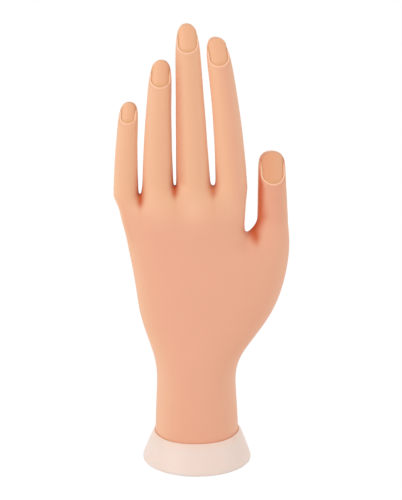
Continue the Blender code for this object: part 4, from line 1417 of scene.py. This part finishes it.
@dataclass
class HandSkin:
    """The soft skin: palm and digits from one fine mesh, split so that each piece crosses one joint."""

    form: HandForm
    finish: bpy.types.Material
    levels: int = 3
    refine_reach: tuple[float, ...] = (0.0017, 0.0009)
    near_shares: tuple[float, float, float] = (1.4, 1.3, 1.2)
    foot_slack: float = 0.00001
    snap: float = 0.00007
    shortest: float = 0.00002
    fold_height: float = 0.00030
    fold_ridge: float = 0.00016
    fold_rim_share: float = 0.4
    side_reach: float = 0.0013
    root_reach: float = 0.0030
    free_start: float = 0.50
    free_reach: float = 0.32
    lip: float = 0.00022
    ridge_place: float = 1.6
    # Painted highlight on the lip round each nail: reach, softness, reach inside, and where it fades along
    # the nail.
    lip_highlight_reach: float = 0.0011
    lip_highlight_soft: float = 0.0007
    lip_highlight_inside: float = 0.0006
    lip_highlight_end: float = 0.75
    lip_highlight_fade: float = 0.35
    bed_gap: float = 0.00022
    bend_stretch: float = 1.3
    cap_depth: float = 0.0012
    cap_share: float = 0.55
    cage: SkinCage = field(init=False)
    seats: list[NailSeat] = field(init=False)

    def __post_init__(self) -> None:
        """Prepare the cage and the nail seats."""
        self.cage = SkinCage(self.form)
        self.seats = [NailSeat(digit) for digit in self.cage.digits]

    def near_nail(
        self, seat: NailSeat, points: np.ndarray, marks: np.ndarray
    ) -> tuple[np.ndarray, np.ndarray]:
        """Find the points on the back of a fingertip, round its nail.

        Args:
            seat: the nail's seat.
            points: places to choose from.
            marks: their digit marks.

        Returns:
            Numbers of the chosen points, and their places in the seat's directions.
        """
        local = seat.to_seat(points)
        behind, beyond, under = self.near_shares
        chosen = np.nonzero(
            (marks == seat.digit.mark) & (local[:, 0] > -self.root_reach * behind)
            & (local[:, 0] < seat.digit.nail_length * beyond) & (local[:, 2] > -seat.half * under)
        )[0]
        return chosen, local[chosen]

    def refine(self, bm: bmesh.types.BMesh) -> None:
        """Subdivide the faces along each nail's visible border.

        Args:
            bm: the whole skin.
        """
        for reach in self.refine_reach:
            bm.faces.ensure_lookup_table()
            centres = np.array([face.calc_center_median() for face in bm.faces])
            marks = np.array([face.material_index for face in bm.faces])
            # A dictionary keeps its order from run to run, and a set of edges doesn't.
            edges = {}
            for seat in self.seats:
                chosen, local = self.near_nail(seat, centres, marks)
                distance, _ = seat.distance(local)
                for index in chosen[np.abs(distance) < reach]:
                    edges.update(dict.fromkeys(bm.faces[index].edges))
            bmesh.ops.subdivide_edges(bm, edges=list(edges), cuts=1, use_grid_fill=True)

    def fold_skin(self, seat: NailSeat, points: np.ndarray, marks: np.ndarray) -> None:
        """Work the cuticle fold and the nail's bed into the skin, in place.

        Args:
            seat: the nail's seat.
            points: vertex places of the whole skin, which are changed.
            marks: digit mark of each vertex.
        """
        chosen, local = self.near_nail(seat, points, marks)
        distance, nearest = seat.distance(local)
        close = np.abs(distance) < self.snap
        local[close, :2] = nearest[close]
        distance[close] = 0
        u, x, w = local.T
        plate = -seat.sag(np.clip(x, -seat.half, seat.half))
        side = np.clip(np.abs(nearest[:, 1]) / seat.edge, 0, 1) ** 3
        reach = mix(self.root_reach, self.side_reach, side)
        free = smooth_step((u / seat.digit.nail_length - self.free_start) / self.free_reach)
        ridge_place = self.lip * self.ridge_place
        ridge = self.fold_ridge * bump_of(distance - ridge_place, ridge_place) * (1 - free)
        floor = plate - seat.thickness - self.bed_gap
        outer = np.minimum(w, mix(plate + self.fold_height + ridge, floor, free))
        outside = mix(outer, w, smooth_step((distance - self.lip) / reach)) + ridge * (w > plate)
        rim = np.minimum(w, mix(plate + self.fold_height * self.fold_rim_share, floor, free))
        inside = mix(rim, np.minimum(w, floor), smooth_step(-distance / self.lip))
        local[:, 2] = np.where(distance >= 0, outside, inside)
        points[chosen] = seat.from_seat(local)

    def painted_lip_highlight(self, points: np.ndarray, marks: np.ndarray) -> np.ndarray:
        """Painted highlight that lightens the raised lip round each nail's root and lower sides.

        Args:
            points: vertex places.
            marks: digit mark of each vertex.

        Returns:
            The number for each vertex.
        """
        light = np.zeros(len(points))
        for seat in self.seats:
            length = seat.digit.nail_length
            chosen, local = self.near_nail(seat, points, marks)
            distance, _ = seat.distance(local)
            fade = smooth_step((length * self.lip_highlight_end - local[:, 0]) / (length * self.lip_highlight_fade))
            near = smooth_step((self.lip_highlight_reach - distance) / self.lip_highlight_soft)
            near = near * (distance > -self.lip_highlight_inside)
            light[chosen] = np.maximum(light[chosen], near * fade)
        return light

    def sheet(self) -> SkinSheet:
        """Make the whole skin: trimmed at its foot, fine round the nails, and folded there.

        Returns:
            The skin as numbers.
        """
        mesh = self.cage.build(self.levels)
        bm = bmesh.new()
        bm.from_mesh(mesh)
        palm_faces = [face for face in bm.faces if face.material_index == 0]
        edges = dict.fromkeys(edge for face in palm_faces for edge in face.edges)
        verts = dict.fromkeys(vert for face in palm_faces for vert in face.verts)
        bmesh.ops.bisect_plane(
            bm, geom=palm_faces + list(edges) + list(verts), plane_co=(0, 0, self.form.skin_foot),
            plane_no=(0, 0, -1), clear_outer=True,
        )
        self.refine(bm)
        bm.to_mesh(mesh)
        points = read(mesh.vertices, "co", 3)
        _, marks = digit_marks(mesh)
        for seat in self.seats:
            self.fold_skin(seat, points, marks)
        mesh.vertices.foreach_set("co", points.ravel())
        bm.clear()
        bm.from_mesh(mesh)
        bmesh.ops.dissolve_degenerate(bm, edges=bm.edges, dist=self.shortest)
        bm.to_mesh(mesh)
        bm.free()
        points = read(mesh.vertices, "co", 3)
        normals = read(mesh.vertex_normals, "vector", 3)
        face_marks, marks = digit_marks(mesh)
        # Painted light and shade on the skin's points, and the fingers' tone.
        tints = SkinTint(self.form, self.cage.digits).numbers(points, normals, marks)
        # Painted highlight on the raised lip round each nail.
        tints["lip"] = self.painted_lip_highlight(points, marks)
        heights = read(mesh.polygons, "center", 3)[:, 2]
        faces = [tuple(polygon.vertices) for polygon in mesh.polygons]
        bpy.data.meshes.remove(mesh)
        return SkinSheet(faces, face_marks, heights, points, normals, tints)

    def build(self) -> list[bpy.types.Object]:
        """Make every skin piece.

        Returns:
            The pieces: the palm first, then each digit from its root outwards.
        """
        sheet = self.sheet()
        pieces = [self.palm_piece(sheet)]
        for digit in self.cage.digits:
            pieces += self.digit_pieces(digit, sheet)
        return pieces

    def split_heights(self, digit: Digit) -> list[float]:
        """Place the splits of a digit.

        Args:
            digit: the digit.

        Returns:
            Heights, each in the middle of the stiff stretch between two joints.
        """
        joints = digit.joints
        pairs = zip(joints, joints[1:])
        return [digit.root.z + (a + a_half + b - b_half) / 2 for (a, a_half), (b, b_half) in pairs]

    def digit_pieces(self, digit: Digit, sheet: SkinSheet) -> list[bpy.types.Object]:
        """Make the skin pieces of one digit, each crossing its own joint.

        Args:
            digit: the digit.
            sheet: the whole skin.

        Returns:
            The pieces from the root outwards.
        """
        limits = [-1.0] + self.split_heights(digit) + [1.0]
        made = []
        for k, (height, half) in enumerate(digit.joints):
            fold, sleeve = digit.skin_nodes[k]
            body = digit.bodies[k + 1]
            beyond = (sheet.heights > limits[k]) & (sheet.heights <= limits[k + 1])
            bm, outer = sheet.cut((sheet.marks == digit.mark) & beyond)
            self.seal(bm, [])
            item = sheet.dress(bm, outer, f"{body}_skin_piece", self.finish)
            stretch = half * self.bend_stretch
            tuple(digit.centre(height - stretch))
            tuple(digit.centre(height + stretch))
            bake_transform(item)
            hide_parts(fold, sleeve)
            made.append(item)
        return made

    def palm_piece(self, sheet: SkinSheet) -> bpy.types.Object:
        """Make the palm and wrist, hollow from below.

        Args:
            sheet: the whole skin.

        Returns:
            The palm's object, riding on the hand.
        """
        bm, outer = sheet.cut(sheet.marks == 0)
        foot = self.form.skin_foot
        boundary = [edge for edge in bm.edges if edge.is_boundary]
        low = [edge for edge in boundary if all(abs(v.co.z - foot) < self.foot_slack for v in edge.verts)]
        self.seal(bm, low)
        self.add_hollow(bm, low)
        item = sheet.dress(bm, outer, "palm_and_wrist_skin", self.finish)
        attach(item, "hand")
        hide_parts("palm_skin")
        return item

    def add_hollow(self, bm: bmesh.types.BMesh, low: list[bmesh.types.BMEdge]) -> None:
        """Add the inner wall of the wrist and palm, joined to the outer wall by a flat rim.

        Args:
            bm: the open palm.
            low: boundary edges of its foot.
        """
        form = self.form
        verts = dict.fromkeys(vert for edge in low for vert in edge.verts)
        lower = sorted(verts, key=lambda vert: math.atan2(vert.co.y, vert.co.x))
        turns = [math.atan2(vert.co.y, vert.co.x) for vert in lower]
        reach_right = form.thumb_reach(self.cage.digits)
        rows = [row for row in form.lower_palm if 0 < row[0] < form.hollow_top_start]
        rows = [(form.skin_foot / form.thumb_web, *form.lower_palm[1][1:])] + rows + list(form.hollow_top)
        for share, left_share, right_share, back_share, palm_share in rows:
            left = mix(form.wrist_half_width, -form.row_left, left_share) - form.wall
            right = mix(form.wrist_half_width, reach_right, right_share) - form.wall
            back = form.wrist_half_depth * back_share - form.wall
            palm = form.wrist_half_depth * palm_share - form.wall
            half = (left + right) / 2
            upper = []
            for turn in turns:
                c, s = math.cos(turn), math.sin(turn)
                deep = palm if s > 0 else back
                reach = (abs(c / half) ** form.power + abs(s / deep) ** form.power) ** (-1 / form.power)
                place = ((right - left) / 2 + reach * c, reach * s, form.palm_height(share))
                upper.append(bm.verts.new(place))
            bridge(bm, lower, upper)
            lower = upper
        bm.faces.new(lower)

    def seal(self, bm: bmesh.types.BMesh, kept: list[bmesh.types.BMEdge]) -> None:
        """Close each open loop with a wall that goes inwards and a flat cap, so that no cap shows outside.

        Args:
            bm: the open piece.
            kept: boundary edges that stay open.
        """
        middle = sum(vert.co.z for vert in bm.verts) / len(bm.verts)
        edges = dict.fromkeys(edge for edge in bm.edges if edge.is_boundary)
        for edge in kept:
            del edges[edge]
        while edges:
            edge, _ = edges.popitem()
            start, here = edge.verts
            loop = [start]
            while here is not start:
                loop.append(here)
                edge = next(link for link in here.link_edges if link in edges)
                del edges[edge]
                here = edge.other_vert(here)
            centre = sum((vert.co for vert in loop), Vector()) / len(loop)
            height = min(vert.co.z for vert in loop) - (0 if middle > centre.z else self.cap_depth)
            inner = []
            for vert in loop:
                place = centre.lerp(vert.co, self.cap_share)
                inner.append(bm.verts.new((place.x, place.y, height)))
            bridge(bm, loop, inner)
            bm.faces.new(inner)


# Cup


@dataclass
class CupBase:
    """The flared cup: round foot, oval rim, floor and the post that carries the hand."""

    finish: bpy.types.Material
    form: HandForm
    foot_radius: float = 0.0280
    height: float = 0.0150
    wall: float = 0.0013
    floor: float = 0.0045
    foot_edge: float = 0.0008
    straight: float = 0.0020
    straight_share: float = 0.02
    fit_gap: float = 0.0003
    rim_wall: float = 0.0007
    rim_lean: float = 0.00040
    side_lean: float = 0.00016
    rim_lip: float = 0.0018
    rim_dip: float = 0.0007
    rim_ends: float = 0.0007
    rim_tilt: float = 0.0003
    rim_front: float = 0.45
    # Painted highlight band round the rim: where it starts below the top, its length and its inner limit.
    rim_highlight_start: float = 0.0030
    rim_highlight_length: float = 0.0024
    rim_highlight_inside: float = 0.9
    post_radius: float = 0.0052
    post_flare: float = 0.0030
    post_chamfer: float = 0.0010
    post_top: float = 0.0580
    inner_round: float = 0.0008
    crease: float = math.radians(35)
    points: int = 128
    round_steps: int = 5
    flank_steps: int = 4

    @property
    def turns(self) -> list[float]:
        """Angles of a ring's points."""
        return [2 * math.pi * k / self.points for k in range(self.points)]

    def rim_lift(self, depth: float) -> float:
        """Shape the rim's edge.

        Args:
            depth: place from -1 in front to 1 behind.

        Returns:
            How far the rim rises at its sides or dips at its front.
        """
        if depth > 0:
            return self.rim_ends * (1 - depth)
        return mix(self.rim_ends, -self.rim_dip, max((-depth - self.rim_front) / (1 - self.rim_front), 0))

    def ring(self, height: float, grow: float, share: float, lift: float = 0) -> list[Vector]:
        """Ring between the round foot at share 0 and the rim's oval at share 1.

        Args:
            height: height of the ring.
            grow: distance outside the cup's inner wall.
            share: place between foot and rim.
            lift: share of the rim's rise, dip and lean that the ring follows.

        Returns:
            The ring's points.
        """
        power = self.form.power
        wide = self.form.wrist_half_width + self.fit_gap + grow - self.side_lean * lift
        deep = self.form.wrist_half_depth + self.fit_gap + grow
        made = []
        for turn in self.turns:
            c, s = math.cos(turn), math.sin(turn)
            x = math.copysign(abs(c) ** (2 / power), c) * wide
            y = math.copysign(abs(s) ** (2 / power), s) * deep
            z = height + lift * (self.rim_lift(y / deep) + self.rim_tilt * c)
            made.append(Vector((mix(self.foot_radius * c, x, share), mix(self.foot_radius * s, y, share), z)))
        return made

    def circle(self, height: float, radius: float) -> list[Vector]:
        """Round ring about the axis."""
        return [Vector((radius * math.cos(turn), radius * math.sin(turn), height)) for turn in self.turns]

    def drawn_in(self, ring: list[Vector], amount: float, height: float) -> list[Vector]:
        """Draw a ring in towards the axis.

        Args:
            ring: the ring.
            amount: how far each point moves.
            height: height of the new ring.

        Returns:
            The new ring.
        """
        shares = [1 - amount / math.hypot(point.x, point.y) for point in ring]
        return [Vector((point.x * share, point.y * share, height)) for point, share in zip(ring, shares)]

    def rings(self) -> list[list[Vector]]:
        """Place all rings of the cup.

        Returns:
            Rings from the underside over the rim, down inside, over the floor and up the post.
        """
        turns = np.linspace(0, math.pi / 2, self.round_steps + 1)
        quarter = [(math.cos(turn), math.sin(turn)) for turn in turns]
        foot = self.ring(self.foot_edge, self.wall, 0)
        made = [self.drawn_in(foot, self.foot_edge * (1 - s), self.foot_edge * (1 - c)) for c, s in quarter]
        made.append(self.ring(self.straight, self.wall, self.straight_share))
        bend = self.rim_wall / 2
        top = self.height - bend
        for k in range(1, self.flank_steps):
            t = k / self.flank_steps
            grow = mix(self.wall, self.rim_wall, t)
            made.append(self.ring(mix(self.straight, top, t), grow, mix(self.straight_share, 1, t), t))
        for t in np.linspace(0, 1, 2 * self.round_steps + 1):
            grow = bend - self.rim_lean * t + bend * math.cos(t * math.pi)
            made.append(self.ring(top + bend * math.sin(t * math.pi), grow, 1, 1))
        made.append(self.ring(self.height - self.rim_lip, 0, 1, 1))
        inside = self.ring(self.floor, 0, 1)
        for c, s in quarter:
            height = self.floor + self.inner_round * (1 - s)
            made.append(self.drawn_in(inside, self.inner_round * (1 - c), height))
        for c, s in quarter:
            wide = self.post_radius + self.post_flare * (1 - s)
            made.append(self.circle(self.floor + self.post_flare * (1 - c), wide))
        made.append(self.circle(self.post_top - self.post_chamfer, self.post_radius))
        made.append(self.circle(self.post_top, self.post_radius - self.post_chamfer))
        return made

    def build(self) -> bpy.types.Object:
        """Make the cup.

        Returns:
            The cup's object, riding on the cup body.
        """
        bm = bmesh.new()
        rows = [[bm.verts.new(point) for point in ring] for ring in self.rings()]
        for lower, upper in zip(rows, rows[1:]):
            bridge(bm, lower, upper)
        caps = [bm.faces.new(list(reversed(rows[0]))), bm.faces.new(rows[-1])]
        bmesh.ops.recalc_face_normals(bm, faces=bm.faces)
        for face in bm.faces:
            face.smooth = face not in caps
        for edge in bm.edges:
            edge.smooth = edge.calc_face_angle(0) <= self.crease
        mesh = mesh_of(bm, "flared_cup")
        x, y, z = read(mesh.vertices, "co", 3).T
        # Painted highlight in a band round the outside of the rim.
        painted_rim_highlight = smooth_step((z - self.height + self.rim_highlight_start) / self.rim_highlight_length)
        store(mesh, "rim", painted_rim_highlight * (np.hypot(x, y) > self.form.wrist_half_depth * self.rim_highlight_inside))
        item = make_object(mesh, self.finish)
        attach(item, "cup")
        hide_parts("cup_base")
        return item


@dataclass
class Keel:
    """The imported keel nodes, which keep their shapes and get their materials."""

    nodes: dict[str, bpy.types.Object]
    plastic: bpy.types.Material
    steel: bpy.types.Material

    def dress(self) -> None:
        """Give every bone, the palm frame and every pin its finish."""
        for name, item in sorted(self.nodes.items()):
            if name.endswith("_pin"):
                self.assign(item, self.steel)
            elif name.endswith("_bone") or name == "palm_frame":
                self.assign(item, self.plastic)

    def assign(self, item: bpy.types.Object, finish: bpy.types.Material) -> None:
        """Put a finish in a node's material slots.

        Args:
            item: the node's object.
            finish: its material.
        """
        for place in item.material_slots:
            place.material = finish
        LOG.info("dressed %s", item.name)


# Studio


@dataclass
class Studio:
    """Plain pale floor, soft light and the photograph's camera."""

    camera_place: tuple[float, float, float] = (0.0021, -0.75, 0.3015)
    camera_pitch: float = math.radians(14.23)
    focal_pixels: float = 1532.0
    picture_height: int = 500
    sensor: float = 36.0
    far: float = 20.0
    sky: float = 0.68
    sky_colour: Colour = (1.0, 0.995, 0.985, 1)
    floor_size: float = 6.0
    floor_colour: Colour = (0.92, 0.92, 0.92, 1)
    floor_glow: float = 1.02
    floor_glow_share: float = 0.95
    lamp_size: float = 0.9
    lamp_aim: tuple[float, float, float] = (0, 0, 0.11)
    # Lamps: name, place and power in watts.
    lamps: tuple[tuple[str, tuple[float, float, float], float], ...] = (
        ("key_lamp", (-1.0, -0.8, 0.60), 6.5),
        ("fill_lamp", (1.1, -0.6, 0.35), 3.0),
        ("back_lamp", (0.3, 1.1, 0.9), 3.5),
    )

    def set_camera(self) -> None:
        """Place the camera as the photograph's and make it the scene's."""
        data = bpy.data.cameras.new("camera")
        data.sensor_width = self.sensor
        data.lens = self.focal_pixels / self.picture_height * self.sensor
        data.clip_end = self.far
        camera = bpy.data.objects.new("camera", data)
        camera.location = self.camera_place
        camera.rotation_euler = (math.pi / 2 - self.camera_pitch, 0, 0)
        bpy.context.scene.collection.objects.link(camera)
        bpy.context.scene.camera = camera

    def seen_white(self, recipe: Recipe) -> Value:
        """Tell the rays that should meet a white background.

        Args:
            recipe: the tree that asks.

        Returns:
            A value that is 1 for those rays.
        """
        rays = recipe.node("ShaderNodeLightPath").outputs
        seen = recipe.maths("MAXIMUM", rays["Is Camera Ray"], rays["Is Glossy Ray"])
        return recipe.maths("MAXIMUM", seen, rays["Is Transmission Ray"])

    def set_sky(self) -> None:
        """White background for the camera and an even pale light for the rest."""
        world = bpy.data.worlds.new("studio")
        bpy.context.scene.world = world
        recipe = Recipe("studio", world)
        recipe.tree.nodes.clear()
        skies = []
        for colour, strength in ((self.sky_colour, self.sky), ((1, 1, 1, 1), 1.0)):
            sky = recipe.node("ShaderNodeBackground", {}, {"Color": colour, "Strength": strength})
            skies.append(sky.outputs[0])
        both = recipe.mixed_shader(self.seen_white(recipe), *skies)
        recipe.node("ShaderNodeOutputWorld", {}, {"Surface": both})

    def lay_floor(self) -> None:
        """Wide white floor that keeps a faint shadow of the object."""
        bm = bmesh.new()
        bmesh.ops.create_grid(bm, x_segments=1, y_segments=1, size=self.floor_size / 2)
        recipe = Recipe("floor_white")
        recipe.paint(Base_Color=self.floor_colour, Roughness=0.9, Specular_IOR_Level=0.1)
        glow = recipe.node("ShaderNodeEmission", {}, {"Color": (1, 1, 1, 1), "Strength": self.floor_glow})
        share = self.seen_white(recipe) * self.floor_glow_share
        both = recipe.mixed_shader(share, recipe.shader.outputs[0], glow.outputs[0])
        recipe.feed(recipe.tree.nodes["Material Output"].inputs["Surface"], both)
        floor = make_object(mesh_of(bm, "floor", closed=False), recipe.holder)

    def add_lamp(self, name: str, place: tuple[float, float, float], power: float) -> None:
        """Add a soft square lamp aimed at the middle of the hand.

        Args:
            name: its name.
            place: where it hangs.
            power: its power in watts.
        """
        data = bpy.data.lights.new(name, "AREA")
        data.shape = "SQUARE"
        data.size = self.lamp_size
        data.energy = power
        lamp = bpy.data.objects.new(name, data)
        lamp.location = place
        lamp.rotation_euler = (Vector(self.lamp_aim) - Vector(place)).to_track_quat("-Z", "Y").to_euler()
        bpy.context.scene.collection.objects.link(lamp)

    def set_up(self) -> None:
        """Camera, sky, floor and lamps."""
        bpy.context.scene.view_settings.view_transform = "Standard"
        self.set_camera()
        self.set_sky()
        self.lay_floor()
        for lamp in self.lamps:
            self.add_lamp(*lamp)


def main() -> None:
    """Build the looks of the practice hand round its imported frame."""
    logging.basicConfig(level=logging.INFO, format="%(name)s: %(message)s")
    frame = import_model()
    Studio().set_up()
    form = HandForm()
    skin = HandSkin(form, VinylSkin().make())
    skin.build()
    nail_finish = NailFinish().make()
    for seat in skin.seats:
        NailPlate(seat, nail_finish).build()
    CupBase(MilkyCup().make(), form).build()
    Keel(frame["nodes"], KeelPlastic().make(), PinSteel().make()).dress()


if __name__ == "__main__":
    main()
